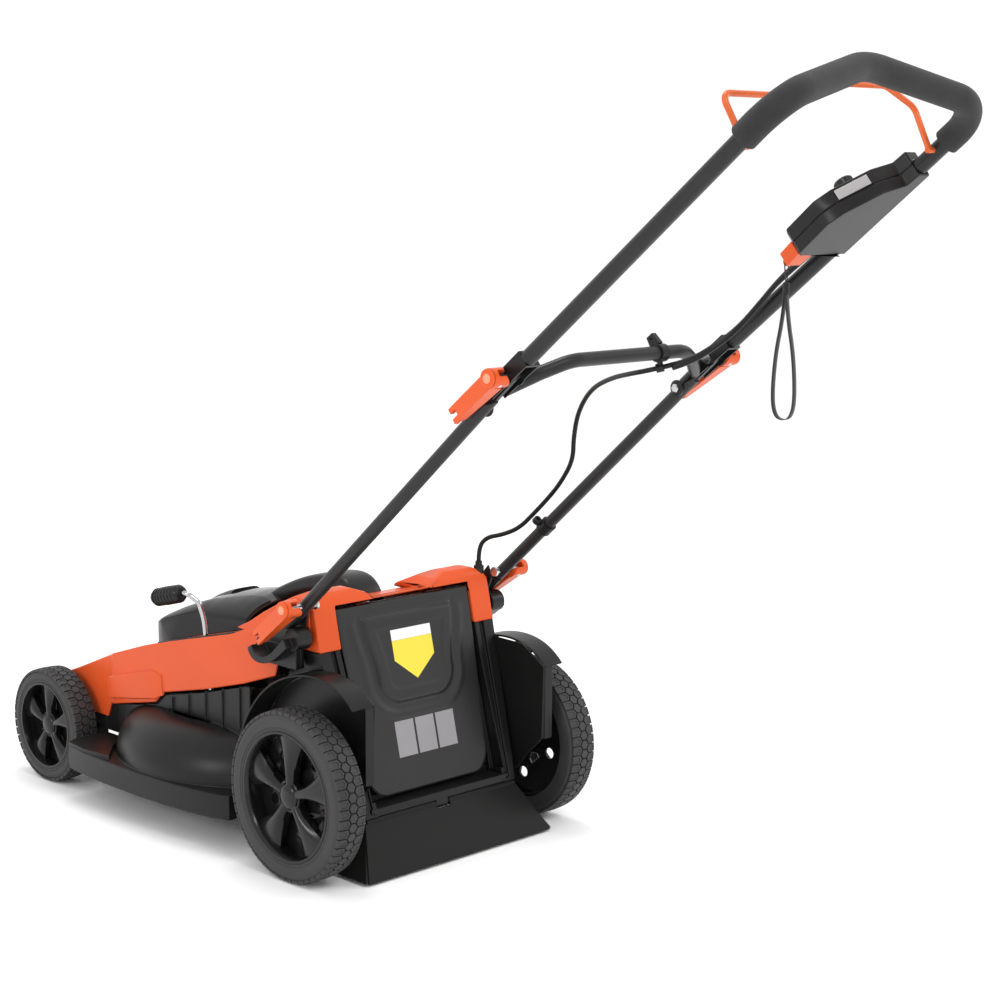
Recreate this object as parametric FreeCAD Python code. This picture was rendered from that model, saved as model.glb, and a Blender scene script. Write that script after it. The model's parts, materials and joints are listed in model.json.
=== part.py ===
import FreeCAD, Part
import math
import os

# Cordless walk-behind push lawn mower, modelled in millimetres.
# Drawing frame: +Z up, forward is -Y, the operator's left hand is +X.
# While drawing, the rear axle is at y = 0 and the ground at z = 0.  Before export everything is
# moved by MIDDLE_Y so that the origin is at the middle of the footprint, on the ground.

# ---------------------------------------------------------------- driving dimensions
REAR_WHEEL_RADIUS = 127.0
FRONT_WHEEL_RADIUS = 96.0
REAR_TYRE_WIDTH = 50.0
FRONT_TYRE_WIDTH = 45.0
REAR_WHEEL_FACE = 261.0          # outer face of the rear tyre, from the centreline
FRONT_WHEEL_FACE = 231.0
WHEELBASE = 679.0
BLADE_RADIUS = 250.0
CHAMBER_RADIUS = 254.0           # inside wall of the blade chamber
SPINDLE_Y = -340.0
SKIRT_BOTTOM = 52.0
LEDGE_TOP = 90.0
AXLE_RADIUS = 6.0
RUNNING_FIT = 0.06               # radial clearance of a shaft in its bore
CRANK_RUN = 58.0                 # rear wheel centre behind its crank pivot
CRANK_RISE = 22.0                # rear wheel centre above its crank pivot
FRONT_CRANK_DROP = 3.0           # front wheel centre below its crank pivot
BODY_HALF = 180.0                # half width of the painted cover
WALL = 3.0
LOWER_TUBE_RADIUS = 9.5
UPPER_TUBE_RADIUS = 11.0
TUBE_WALL = 1.5
LOWER_TUBE_X = 199.5
UPPER_TUBE_X = 202.0
FOLD_LOW = (-20.0, 396.0)        # y, z of the lower fold axis
FOLD_HIGH = (400.0, 758.0)       # y, z of the upper fold axis
UPPER_SLOPE = 38.66              # degrees, slope of the upper tubes
GRIP_RADIUS = 17.5
BAR_REACH = 541.0                # upper fold axis to the hand bar, along the tube
BAR_HUMP = 57.5                  # height of the hand bar's peak above the tube plane
LOOP_CORNER = 50.0               # bend radius of the handle loop's corners
BAIL_RADIUS = 4.0
CABLE_RADIUS = 3.5
LEVER_PIVOT = (-287.0, 133.0)    # y, z of the height lever's axis
LEVER_X = 165.0
MIDDLE_Y = 30.04                 # y of the footprint's middle while drawing

V = FreeCAD.Vector
X_AXIS = V(1, 0, 0)
nodes = {}


# ---------------------------------------------------------------- small helpers
def box(low, high):
    size = [b - a for a, b in zip(low, high)]
    return Part.makeBox(size[0], size[1], size[2], V(*low))


def rod(start, end, radius):
    start = V(*start)
    along = V(*end) - start
    return Part.makeCylinder(radius, along.Length, start, along)


def ring(start, end, outer, inner):
    return rod(start, end, outer).cut(rod(start, end, inner))


def fuse(shapes):
    whole = shapes[0]
    for shape in shapes[1:]:
        whole = whole.fuse(shape)
    return whole.removeSplitter()


def both(shape):
    """The shape and its mirror image across the centreline, as two solids."""
    return Part.makeCompound(shape.Solids + mirrored(shape).Solids)


def mirrored(shape):
    return shape.mirror(V(0, 0, 0), X_AXIS)


def turned(shape, centre, axis, degrees):
    copy = shape.copy()
    copy.rotate(V(*centre), V(*axis), degrees)
    return copy


def face_of(points):
    wire = Part.makePolygon(points + [points[0]])
    return Part.Face(wire)


def side_plate(outline, x_low, x_high):
    """A prism across the object from a side outline of (y, z) points."""
    face = face_of([V(x_low, y, z) for y, z in outline])
    return face.extrude(V(x_high - x_low, 0, 0))


def front_plate(outline, y_low, y_high):
    """A prism along the object from an outline of (x, z) points."""
    face = face_of([V(x, y_low, z) for x, z in outline])
    return face.extrude(V(0, y_high - y_low, 0))


def top_plate(outline, z_low, z_high):
    """An upright prism from a plan outline of (x, y) points."""
    face = face_of([V(x, y, z_low) for x, y in outline])
    return face.extrude(V(0, 0, z_high - z_low))


def smooth_edge(points):
    curve = Part.BSplineCurve()
    curve.interpolate(points)
    return curve.toShape()


def band(outer, inner, x_low, x_high):
    """A curved strip between two smooth side curves of (y, z) points, across the object."""
    first = [V(x_low, y, z) for y, z in outer]
    second = [V(x_low, y, z) for y, z in inner]
    edges = [smooth_edge(first), Part.makeLine(first[-1], second[-1]),
             smooth_edge(second), Part.makeLine(second[0], first[0])]
    face = Part.Face(Part.Wire(Part.__sortEdges__(edges)))
    return face.extrude(V(x_high - x_low, 0, 0))


def revolved(outline, centre, axis):
    """A body of revolution from (radius, height along the axis) points."""
    axis = V(*axis)
    side = V(0, 0, 1) if abs(axis.z) < 0.5 else V(1, 0, 0)
    points = [V(*centre) + side * r + axis * h for r, h in outline]
    return face_of(points).revolve(V(*centre), axis, 360)


def arc_points(centre, radius, start, end, count):
    """Points on an arc, used as an outline's rounded stretch, as (a, b) pairs."""
    steps = [math.radians(start + (end - start) * k / count) for k in range(count + 1)]
    return [(centre[0] + radius * math.cos(t), centre[1] + radius * math.sin(t)) for t in steps]


def rounded_path(points, radii):
    """Straight runs joined by tangent arcs, one radius for each inner point."""
    edges = []
    here = points[0]
    for corner, after, radius in zip(points[1:-1], points[2:], radii):
        before = (corner - here).normalize()
        onward = (after - corner).normalize()
        half_turn = before.getAngle(onward) / 2
        tangent = radius * math.tan(half_turn)
        start = corner - before * tangent
        end = corner + onward * tangent
        bisector = (onward - before).normalize()
        middle = corner + bisector * (radius / math.cos(half_turn) - radius)
        edges.append(Part.LineSegment(here, start).toShape())
        edges.append(Part.Arc(start, middle, end).toShape())
        here = end
    edges.append(Part.LineSegment(here, points[-1]).toShape())
    return Part.Wire(edges)


def swept(path, radius):
    first = path.Edges[0]
    start = first.valueAt(first.FirstParameter)
    along = first.tangentAt(first.FirstParameter)
    circle = Part.Wire(Part.makeCircle(radius, start, along))
    return path.makePipeShell([circle], True, False)


def cord_radii(points):
    """The largest arcs that each pair of neighbouring runs has room for."""
    radii = []
    for before, corner, after in zip(points, points[1:], points[2:]):
        first = corner - before
        second = after - corner
        half_turn = first.getAngle(second) / 2
        radii.append(0.45 * min(first.Length, second.Length) / math.tan(half_turn))
    return radii


def cord(name, points, radius):
    points = [V(*p) for p in points]
    radii = cord_radii(points)
    path = rounded_path(points, radii)
    solid = swept(path, radius)
    section = math.pi * radius ** 2
    print(name, "length %.1f" % path.Length, "radii", [round(r, 1) for r in radii],
          "volume ratio %.4f" % (solid.Volume / (section * path.Length)))
    return solid


def loft(sections):
    wires = [Part.makePolygon([V(*p) for p in s] + [V(*s[0])]) for s in sections]
    return Part.makeLoft(wires, True, True)


# The upper handle's own directions: across (x), along the tubes, and square to them.
SLOPE = math.radians(UPPER_SLOPE)
ALONG = V(0, math.cos(SLOPE), math.sin(SLOPE))
SQUARE = V(0, -math.sin(SLOPE), math.cos(SLOPE))
JOINT = V(0, FOLD_HIGH[0], FOLD_HIGH[1])


def on_handle(x, along, square):
    """A point of the upper handle, measured from the upper fold axis."""
    return JOINT + V(x, 0, 0) + ALONG * along + SQUARE * square


def handle_prism(outline, low, high):
    """A block on the upper handle from (x, along) points, between two heights above the tubes."""
    face = face_of([on_handle(x, t, low) for x, t in outline])
    return face.extrude(SQUARE * (high - low))


# The lower tubes' own directions.
LOW_RISE = math.atan2(FOLD_HIGH[1] - FOLD_LOW[1], FOLD_HIGH[0] - FOLD_LOW[0])
LOW_ALONG = V(0, math.cos(LOW_RISE), math.sin(LOW_RISE))
LOW_SQUARE = V(0, -math.sin(LOW_RISE), math.cos(LOW_RISE))
LOW_PIVOT = V(0, FOLD_LOW[0], FOLD_LOW[1])


def on_lower(x, along, square):
    """A point of the lower handle, measured from the lower fold axis."""
    return LOW_PIVOT + V(x, 0, 0) + LOW_ALONG * along + LOW_SQUARE * square


# ---------------------------------------------------------------- blade chamber and deck
DOME_OUTER = [(262, LEDGE_TOP)] + arc_points((184, LEDGE_TOP), 78, 0, 86, 10)[1:]
CREST_WIDTH = 5.0
ROOF_INNER_TOP = 118.0           # top of the chamber roof inside the crest
STEP_TOP = 96.0                  # the flat step beside each front wheel
SKIRT_PLAN = [(172, -574), (240, -574), (257, -564), (264, -510), (267.5, -440), (268, -360),
              (265, -290), (258, -225), (248, -176), (240, -157), (150, -157)]
SKIRT_HOLLOW = [(178, -569), (238, -569), (252, -560), (259, -508), (262.5, -440), (263, -360),
                (260, -290), (253, -226), (243, -178), (236, -162), (178, -162)]


def turned_about_spindle(outline):
    return revolved(outline, (0, SPINDLE_Y, 0), (0, 0, 1))


def chamber_envelope():
    """Everything that the deck's dome takes up, filled in, a little oversize."""
    gap = 0.4
    curve = [(r + gap, z + gap) for r, z in DOME_OUTER]
    low = SKIRT_BOTTOM - 10
    return turned_about_spindle([(0, low), (262 + gap, low)] + curve + [(0, curve[-1][1])])


def chamber_space():
    """The hollow that the blade turns in."""
    curve = arc_points((190, 86), 64, 0, 62, 6)
    roof = ROOF_INNER_TOP - 4
    inner = [(r, min(z, 140.0)) for r, z in curve]
    return turned_about_spindle([(0, 30), (CHAMBER_RADIUS, 30)] + inner + [(192, roof), (0, roof)])


def deck_shell():
    crest_r, crest_z = DOME_OUTER[-1]
    inside = crest_r - CREST_WIDTH
    outline = ([(0, SKIRT_BOTTOM), (262, SKIRT_BOTTOM)] + DOME_OUTER
               + [(inside, crest_z), (inside, ROOF_INNER_TOP), (0, ROOF_INNER_TOP)])
    dome = turned_about_spindle(outline)
    skirt = top_plate(SKIRT_PLAN, SKIRT_BOTTOM, LEDGE_TOP)
    step = top_plate([(176, -574), (240, -574), (257, -564), (263, -512), (258, -446), (214, -498),
                      (176, -520)], LEDGE_TOP - 1, STEP_TOP)
    hollow = top_plate(SKIRT_HOLLOW, SKIRT_BOTTOM - 1, LEDGE_TOP - 4)
    half = skirt.cut(hollow).fuse(step)
    wall_line = [(-540, 100), (-540, 150), (-428, 170), (-406, 190), (-299, 214), (-196, 242),
                 (-186, 242), (-186, 100)]
    wall = side_plate(wall_line, 172, 175.5)
    ribs = [box((174, y - 1.5, 120), (178.6, y + 1.5, 213 + (y + 299) * 0.26)) for y in
            (-385, -341, -297, -253, -209)]
    side = fuse([half, wall] + ribs)
    nose_plan = [(-172, -580), (-172, -700), (-150, -728), (-100, -738), (100, -738), (150, -728),
                 (172, -700), (172, -580)]
    nose_hollow = [(-168, -577), (-168, -698), (-148, -724), (-99, -734), (99, -734), (148, -724),
                   (168, -698), (168, -577)]
    nose = top_plate(nose_plan, 60, 121.7).cut(top_plate(nose_hollow, 59, 117.7))
    side = side.cut(turned_about_spindle([(0, 0), (261, 0)] + [(r - 1, z - 1) for r, z in DOME_OUTER]
                                         + [(0, crest_z)]))
    shell = fuse([dome, side, mirrored(side), nose])
    shell = shell.cut(chamber_space())
    outlet = box((-120, -260, 92), (120, -60, 200))
    shell = shell.cut(outlet)
    bearing_bore = rod((0, SPINDLE_Y, 60), (0, SPINDLE_Y, 200), 17)
    pocket = box((150, -420, ROOF_INNER_TOP), (171.5, -180, 190))
    shell = shell.cut(bearing_bore).cut(pocket)
    y, z = LEVER_PIVOT
    lug = box((LEVER_X - 17, y - 10, ROOF_INNER_TOP - 1), (LEVER_X - 8, y + 10, z + 10))
    shell = shell.fuse(lug).cut(lever_pin())
    front_y = -WHEELBASE + CRANK_RUN
    front_z = FRONT_WHEEL_RADIUS + FRONT_CRANK_DROP
    rod_way = rod((-200, front_y, front_z), (200, front_y, front_z), AXLE_RADIUS + 2)
    return biggest(shell.cut(rod_way))


def biggest(shape):
    """The main solid, when a cut leaves slivers beside it."""
    return max(shape.Solids, key=lambda s: s.Volume)


def cover_top_line(inset):
    line = [(-742, 122), (-737, 150), (-722, 168), (-659, 190), (-553, 232), (-458, 262),
            (-384, 281), (-227, 318), (-177, 336), (-118, 372), (-36, 387)]
    return [(y + (inset if k < 3 else 0), z - (0 if k == 0 else inset))
            for k, (y, z) in enumerate(line)]


COVER_BOTTOM_LINE = [(-36, 329), (-106, 308), (-118, 272), (-196, 246), (-299, 218), (-406, 194),
                     (-428, 174), (-562, 146), (-572, 122)]


def cover_body(inset):
    outline = cover_top_line(inset) + COVER_BOTTOM_LINE
    wide = side_plate(outline, -BODY_HALF + inset, BODY_HALF - inset)
    slim_half = 174.0 - inset
    nose_end = -742 + inset
    plan = [(-slim_half, -560), (-slim_half, -690), (-150, -728 + inset), (-100, nose_end),
            (100, nose_end), (150, -728 + inset), (slim_half, -690), (slim_half, -560)]
    rear_half = BODY_HALF - inset
    plan = plan + [(rear_half, -545), (rear_half, -20), (-rear_half, -20), (-rear_half, -545)]
    return wide.common(top_plate(plan, 60, 460))


def top_cover():
    shell = cover_body(0)
    inner = cover_body(WALL)
    low_drop = inner.copy()
    low_drop.translate(V(0, 0, -4))
    shell = shell.cut(inner).cut(low_drop)
    for sign in (1, -1):
        shell = shell.fuse(horn(sign)).fuse(axle_boss(sign))
    window = box((-112, -560, 205), (112, -300, 420))
    shell = shell.cut(window)
    shell = shell.cut(quadrant_block(0.3))
    rear_face = box((-134.6, -60, 300), (134.6, 30, 385))
    return biggest(shell.cut(rear_face).cut(door_hinge_rod()).removeSplitter())


HORN_TOP = [(176, 385), (170, 396), (153, 404), (128, 408), (98, 406), (72, 397), (57, 386)]


def horn(sign):
    """The rounded shoulder at each rear corner of the cover."""
    profile = [(135, 322), (176, 322)] + HORN_TOP + [(57, 380), (66, 374), (135, 374)]
    block = front_plate([(sign * x, z) for x, z in profile], -216, -16)
    keep = side_plate([(-16.5, 322), (-30.5, 382), (-35, 395), (-43, 404), (-56, 408), (-70, 404),
                       (-88, 395), (-112, 383), (-152, 363), (-187, 343), (-216, 330),
                       (-140, 322)], -200, 200)
    hollow = [(139, 310), (172.5, 310), (172.5, 384), (167.5, 392.5), (152, 400.2), (128, 404),
              (99, 402), (74, 393.5), (63, 385), (63, 381), (69, 370), (139, 370)]
    inner = front_plate([(sign * x, z) for x, z in hollow], -204, -18)
    inner = inner.common(side_plate([(-17, 310), (-34, 382), (-38, 393), (-45, 400.4),
                                     (-56, 404), (-69, 400.2), (-87, 391.3), (-111, 379.4),
                                     (-151, 359.4), (-184, 340), (-204, 332), (-140, 310)],
                                    -200, 200))
    return block.common(keep).cut(inner)


def axle_boss(sign):
    """The raised box on the cover's side, behind each front wheel."""
    outline = [(-557, 158), (-557, 194), (-432, 226), (-408, 222), (-404, 190), (-428, 180)]
    block = side_plate(outline, 178, 186)
    wedge = top_plate([(177, -560), (183, -560), (185.5, -540), (185.5, -450), (180.2, -404),
                       (177, -404)], 150, 230)
    block = block.common(wedge)
    return block if sign > 0 else mirrored(block)


# ---------------------------------------------------------------- height quadrant
QUAD_FRONT = (-424, 270.4)
QUAD_REAR = (-226, 318.3)


def quadrant_block(grow):
    y0 = QUAD_FRONT[0] - grow
    y1 = QUAD_REAR[0] + grow
    z0 = QUAD_FRONT[1]
    z1 = QUAD_REAR[1]
    low = 7 + grow
    high = 2.0 + grow
    outline = [(y0, z0 - low), (y0, z0 + high), (y1, z1 + high), (y1, z1 - low)]
    return side_plate(outline, LEVER_X - 11 - grow, LEVER_X + 11 + grow)


def height_quadrant():
    plate = quadrant_block(0)
    slot = side_plate([(-414, 250), (-414, 300), (-236, 340), (-236, 290)],
                      LEVER_X - 5.5, LEVER_X + 5.5)
    plate = plate.cut(slot)
    for k in range(7):
        angle = math.radians(90 + 7.4 + 22 - 7 * k)
        reach = 165 + 3.0 * k
        y = LEVER_PIVOT[0] + reach * math.cos(angle)
        z = LEVER_PIVOT[1] + reach * math.sin(angle)
        plate = plate.cut(box((LEVER_X - 8.5, y - 5.5, z - 40), (LEVER_X - 5, y + 5.5, z + 60)))
    return plate


# ---------------------------------------------------------------- rear frame, door and flap
DOOR_TOP = (-35.0, 383.0)        # y, z of the door's top edge, on its outer face
DOOR_BOTTOM = (32.0, 99.0)
DOOR_HINGE = (-42.0, 375.0)
DOOR_ROD_HALF = 138.5
FLAP_HINGE = (50.0, 76.0)


def rear_frame():
    posts = []
    for sign in (1, -1):
        top = [(sign * 137, -60, 321.7), (sign * 177, -60, 321.7), (sign * 177, -19, 321.7),
               (sign * 137, -19, 321.7)]
        low = [(sign * 128, 18, 82), (sign * 154, 18, 82), (sign * 154, 56, 82), (sign * 128, 56, 82)]
        posts.append(loft([top, low]))
        groove = loft([[(sign * 146, -17, 323), (sign * 156, -17, 323), (sign * 156, -25, 323),
                        (sign * 146, -25, 323)],
                       [(sign * 136, 58, 88), (sign * 142, 58, 88), (sign * 142, 50, 88),
                        (sign * 136, 50, 88)]])
        posts[-1] = posts[-1].cut(groove)
        cheek = side_plate([(-150, 190), (-118, 268), (-106, 306), (-60, 321), (-30, 321), (15, 90),
                            (2, 90), (-30, 120), (-100, 134)], 0, WALL)
        cheek.translate(V(sign * 153 + (-WALL if sign < 0 else 0), 0, 0))
        posts.append(cheek)
    sill = fuse([box((-140, 22, 82), (140, 54, 94)), box((-126, 14, 82), (126, 24, 94)),
                 box((-126, 14, 82), (126, 19.5, 103))])
    lug = box((-12, 40, 70), (12, 54, 84))
    frame = fuse(posts + [sill, lug])
    bore = rod((-200, FLAP_HINGE[0], FLAP_HINGE[1]), (200, FLAP_HINGE[0], FLAP_HINGE[1]),
               3 + RUNNING_FIT)
    frame = frame.cut(bore).cut(door_slab(-134.6, 134.6, -8, 30))
    return biggest(frame.cut(both(fender())))


def discharge_chute():
    outer = [(-96, 119), (20, 106), (-44, 365), (-70, 365), (-168, 190), (-168, 150)]
    inner = [(-110, 122), (40, 109.5), (-30, 362), (-68, 362), (-165, 188), (-185, 150)]
    shell = side_plate(outer, -127.5, 127.5).cut(side_plate(inner, -124.5, 124.5))
    return biggest(shell.cut(chamber_envelope()).cut(door_slab(-136, 136, -12, 40)))


def door_slab(x_low, x_high, inside, outside):
    """A slanted slab parallel to the rear door, measured square to its outer face."""
    run = DOOR_BOTTOM[0] - DOOR_TOP[0]
    drop = DOOR_TOP[1] - DOOR_BOTTOM[1]
    length = math.hypot(run, drop)
    across = (drop / length, run / length)
    ends = []
    for y, z in (DOOR_TOP, DOOR_BOTTOM):
        ends.append([(y + across[0] * d, z + across[1] * d) for d in (inside, outside)])
    outline = [ends[0][0], ends[0][1], ends[1][1], ends[1][0]]
    return side_plate(outline, x_low, x_high)


def on_door(x, down, out):
    """A point on the rear door: across, down from its top edge, out from its face."""
    run = DOOR_BOTTOM[0] - DOOR_TOP[0]
    drop = DOOR_TOP[1] - DOOR_BOTTOM[1]
    length = math.hypot(run, drop)
    y = DOOR_TOP[0] + run / length * down + drop / length * out
    z = DOOR_TOP[1] - drop / length * down + run / length * out
    return V(x, y, z)


def door_prism(outline, inside, outside):
    face = face_of([on_door(x, d, inside) for x, d in outline])
    normal = on_door(0, 0, 1) - on_door(0, 0, 0)
    return face.extrude(normal * (outside - inside))


def door_outline(inset):
    half_top = 134.0 - inset
    half_low = 121.0 - inset
    bottom = 291.0 - inset
    r = 34.0 - inset
    right = arc_points((half_low - r, bottom - r), r, 0, 90, 5)
    left = arc_points((-half_low + r, bottom - r), r, 90, 180, 5)
    return [(-half_top, inset + 4), (half_top, inset + 4)] + right + left


def door_panel():
    panel = door_prism(door_outline(0), -3, 0)
    lip = door_prism(door_outline(4), -10, -2.9).cut(door_prism(door_outline(8), -11, -3))
    shield = [(-84, 30), (84, 30), (70, 120)] + arc_points((36, 122), 32, 0, 90, 5) \
        + arc_points((-36, 122), 32, 90, 180, 5) + [(-70, 120)]
    pad = door_prism(shield, -0.2, 5.5)
    ears = []
    for sign in (1, -1):
        ear = rod((sign * 92, DOOR_HINGE[0], DOOR_HINGE[1]),
                  (sign * 122, DOOR_HINGE[0], DOOR_HINGE[1]), 6)
        bridge = box((sign * 107 - 15, DOOR_HINGE[0], DOOR_HINGE[1] - 5.9),
                     (sign * 107 + 15, DOOR_HINGE[0] + 7, DOOR_HINGE[1]))
        ears.append(ear.fuse(bridge))
    y, z = DOOR_HINGE
    lip = lip.cut(rod((-135, y, z), (135, y, z), 6.3))
    door = fuse([panel, lip, pad] + ears)
    bore = rod((-140, DOOR_HINGE[0], DOOR_HINGE[1]), (140, DOOR_HINGE[0], DOOR_HINGE[1]),
               3 + RUNNING_FIT)
    return biggest(door.cut(bore))


def door_hinge_rod():
    half = DOOR_ROD_HALF
    return rod((-half, DOOR_HINGE[0], DOOR_HINGE[1]), (half, DOOR_HINGE[0], DOOR_HINGE[1]), 3)


def door_springs():
    coil = ring((60, DOOR_HINGE[0], DOOR_HINGE[1]), (88, DOOR_HINGE[0], DOOR_HINGE[1]), 5.0, 3.2)
    return both(coil)


def screw_ways(radius, low, high):
    """The places of the two screws near the door's top edge."""
    return [rod(tuple(on_door(x, 9, low)), tuple(on_door(x, 9, high)), radius) for x in (76, -60)]


def rear_door():
    """The door panel with its two screws."""
    panel = door_panel()
    for way in screw_ways(3.2, -2.9, 2):
        panel = panel.cut(way)
    return Part.makeCompound(panel.Solids + screw_ways(3.2, -2.9, 1.0))


def trailing_flap():
    y0, z0 = FLAP_HINGE
    strip = side_plate([(y0 + 1, z0 - 2), (y0 + 5, z0), (101, 4), (97, 4)], -200, 200)
    edges = front_plate([(-151, z0 + 5), (151, z0 + 5), (188, 0), (-188, 0)], 40, 110)
    sheet = strip.common(edges)
    barrel = fuse([rod((-150, y0, z0), (-14, y0, z0), 6), rod((14, y0, z0), (150, y0, z0), 6)])
    wing = face_of([V(155, 56, 68), V(190.5, 98.5, 5), V(190.5, 30, 5)]).extrude(V(-4, 0, 0))
    flap = fuse([sheet, barrel, wing, mirrored(wing)])
    bore = rod((-160, y0, z0), (160, y0, z0), 3 + RUNNING_FIT)
    gap = rod((-14, y0, z0), (14, y0, z0), 9)
    return biggest(flap.cut(bore).cut(gap))


def flap_rod():
    return rod((-153, FLAP_HINGE[0], FLAP_HINGE[1]), (153, FLAP_HINGE[0], FLAP_HINGE[1]), 3)


# ---------------------------------------------------------------- fenders and handle brackets
FENDER_LINE = [(-183, 73), (-168, 170), (-105, 259), (-23, 296), (52, 294), (99, 265), (98, 151)]


def fender():
    centre = (-30, 130)
    inner = []
    for y, z in FENDER_LINE:
        reach = math.hypot(y - centre[0], z - centre[1])
        pull = 3.5 / reach
        inner.append((y + (centre[0] - y) * pull, z + (centre[1] - z) * pull))
    arch = band(FENDER_LINE[:6], inner[:6], 174, 213)
    flange = side_plate([(95.5, 150), (99, 150), (99.6, 263), (96.6, 265)], 174, 190)
    web = [(-181, 92)] + FENDER_LINE[1:6] + [(96, 151), (64, 120), (40, 92)]
    plate = side_plate(web, 170.5, 174)
    whole = fuse([arch, plate, flange])
    whole = whole.cut(chamber_envelope())
    whole = whole.cut(rod((150, -58, 105), (230, -58, 105), 9))
    whole = whole.cut(box((160, -220, 40), (263.6, -156.6, LEDGE_TOP + 0.3)))
    return biggest(whole)


def handle_bracket():
    """Ear beside the lower tube, the sleeve below the tube's end, and the clamp's round seat."""
    outline = [(-120, 300), (-46, 300), (-44, 352), (-30, 384), (-38, 404), (-70, 368), (-128, 340)]
    ear = side_plate(outline, 183.4, 187)
    ear = ear.fuse(rod((183.4, FOLD_LOW[0], FOLD_LOW[1]), (187, FOLD_LOW[0], FOLD_LOW[1]), 13))
    seat = rod((183.4, -42, 344), (209, -42, 344), 17)
    stem = rod(tuple(on_lower(LOWER_TUBE_X, -17, 0)), tuple(on_lower(LOWER_TUBE_X, -52, 0)),
               LOWER_TUBE_RADIUS)
    foot = side_plate([(-150, 296), (-48, 296), (-48, 330), (-140, 330)], 180.4, 196)
    hook = band([(-38, 334), (-64, 314), (-94, 302), (-118, 305), (-130, 320)],
                [(-46, 346), (-68, 326), (-94, 312), (-111, 314), (-120, 326)], 196, 222)
    whole = fuse([ear, seat, stem, foot, hook])
    bore = rod((170, FOLD_LOW[0], FOLD_LOW[1]), (230, FOLD_LOW[0], FOLD_LOW[1]), 4 + RUNNING_FIT)
    return biggest(whole.cut(bore))


# ---------------------------------------------------------------- powerhead
def pod_block(grow):
    """The rounded pod over the battery and motor, as the overlap of three prisms."""
    side = [(-585 - grow, 200), (-585 - grow, 232)]
    side += [(-560 - grow, 262 + grow), (-525, 290 + grow), (-480, 316 + grow), (-430, 335 + grow),
             (-370, 348 + grow), (-316, 352 + grow), (-290 + grow, 340), (-290 + grow, 200)]
    front = [(-118 - grow, 200), (-118 - grow, 262), (-108 - grow, 300), (-84, 334 + grow),
             (-45, 349 + grow), (0, 353 + grow), (45, 349 + grow), (84, 334 + grow),
             (108 + grow, 300), (118 + grow, 262), (118 + grow, 200)]
    plan = arc_points((0, -467), 118 + grow, 180, 360, 14)
    plan += [(118 + grow, -300), (100 + grow, -290 + grow), (-100 - grow, -290 + grow),
             (-118 - grow, -300)]
    return side_plate(side, -140, 140).common(front_plate(front, -640, -250)).common(
        top_plate(plan, 190, 400))


def lid_cutter(lift):
    """Everything above the slanted parting line between the pod's base and its lid."""
    return side_plate([(-640, 246 + lift), (-420, 312 + lift), (-404, 308 + lift),
                       (-250, 316 + lift), (-250, 420), (-640, 420)], -150, 150)


LID_HINGE = (-557, 262)          # axis of the lid's hinge, across its front
LID_KNUCKLE = 58.0               # half length of the lid's own knuckle


def hinge_rod(low, high, radius):
    y, z = LID_HINGE
    return rod((low, y, z), (high, y, z), radius)


def powerhead_base():
    shell = pod_block(0).cut(pod_block(-WALL)).cut(lid_cutter(0))
    shell = shell.cut(cover_body(0.0)).cut(handle_band_cutter())
    shell = shell.cut(hinge_rod(-LID_KNUCKLE - 0.4, LID_KNUCKLE + 0.4, 5.6))
    ends = hinge_rod(LID_KNUCKLE + 0.4, LID_KNUCKLE + 20, 5)
    shell = fuse([shell, ends, mirrored(ends), hinge_rod(-LID_KNUCKLE - 10, LID_KNUCKLE + 10, 2.5)])
    return biggest(shell)


def handle_band_cutter():
    return box((-38.4, -420, 290), (38.4, -280, 420))


def battery_lid():
    shell = pod_block(0).cut(pod_block(-WALL)).common(lid_cutter(0.5))
    shell = shell.cut(handle_band_cutter())
    shell = shell.cut(hinge_rod(-LID_KNUCKLE - 22, LID_KNUCKLE + 22, 5.6))
    y, z = LID_HINGE
    web = side_plate([(y, z + 2), (y + 4, z + 1), (y + 14, z + 14), (y + 10, z + 19), (y - 1, z + 10)],
                     -LID_KNUCKLE, LID_KNUCKLE)
    shell = fuse([shell, hinge_rod(-LID_KNUCKLE, LID_KNUCKLE, 5), web])
    return biggest(shell.cut(hinge_rod(-LID_KNUCKLE - 1, LID_KNUCKLE + 1, 2.5 + RUNNING_FIT)))


def carry_handle():
    top = [(-418, 306), (-372, 312), (-330, 347), (-267, 377), (-212, 393), (-160, 403),
           (-128, 400), (-108, 378)]
    low = [(-418, 292), (-366, 292), (-316, 322), (-262, 352), (-210, 366), (-166, 374),
           (-140, 370), (-128, 352)]
    strap = band(top, low, -34, 34)
    rear_leg = side_plate([(-142, 330), (-142, 362), (-112, 384), (-104, 372), (-104, 330)], -34, 34)
    whole = fuse([strap, rear_leg]).cut(cover_body(-0.3))
    return biggest(whole.cut(lid_cutter(-0.3).common(pod_block(0.3)).common(
        box((-200, -700, 0), (200, -404, 500)))))


def battery_pack():
    return box((-42, -545, 186), (42, -440, 262))


def battery_terminals():
    return box((-20, -437, 196), (20, -425, 232))


def battery_bay():
    outer = box((-47, -550, 180), (47, -424, 236))
    inner = box((-43, -546, 184), (43, -440, 240))
    contact = box((-21, -441, 195), (21, -423, 233))
    return outer.cut(inner).cut(contact)


def controller_board():
    return box((-50, -290, 206), (50, -215, 209))


def controller_heatsink():
    base = box((-45, -285, 210), (45, -220, 214))
    fins = [box((-45 + 12 * k, -285, 214), (-42 + 12 * k, -220, 224)) for k in range(8)]
    return fuse([base] + fins)


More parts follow.
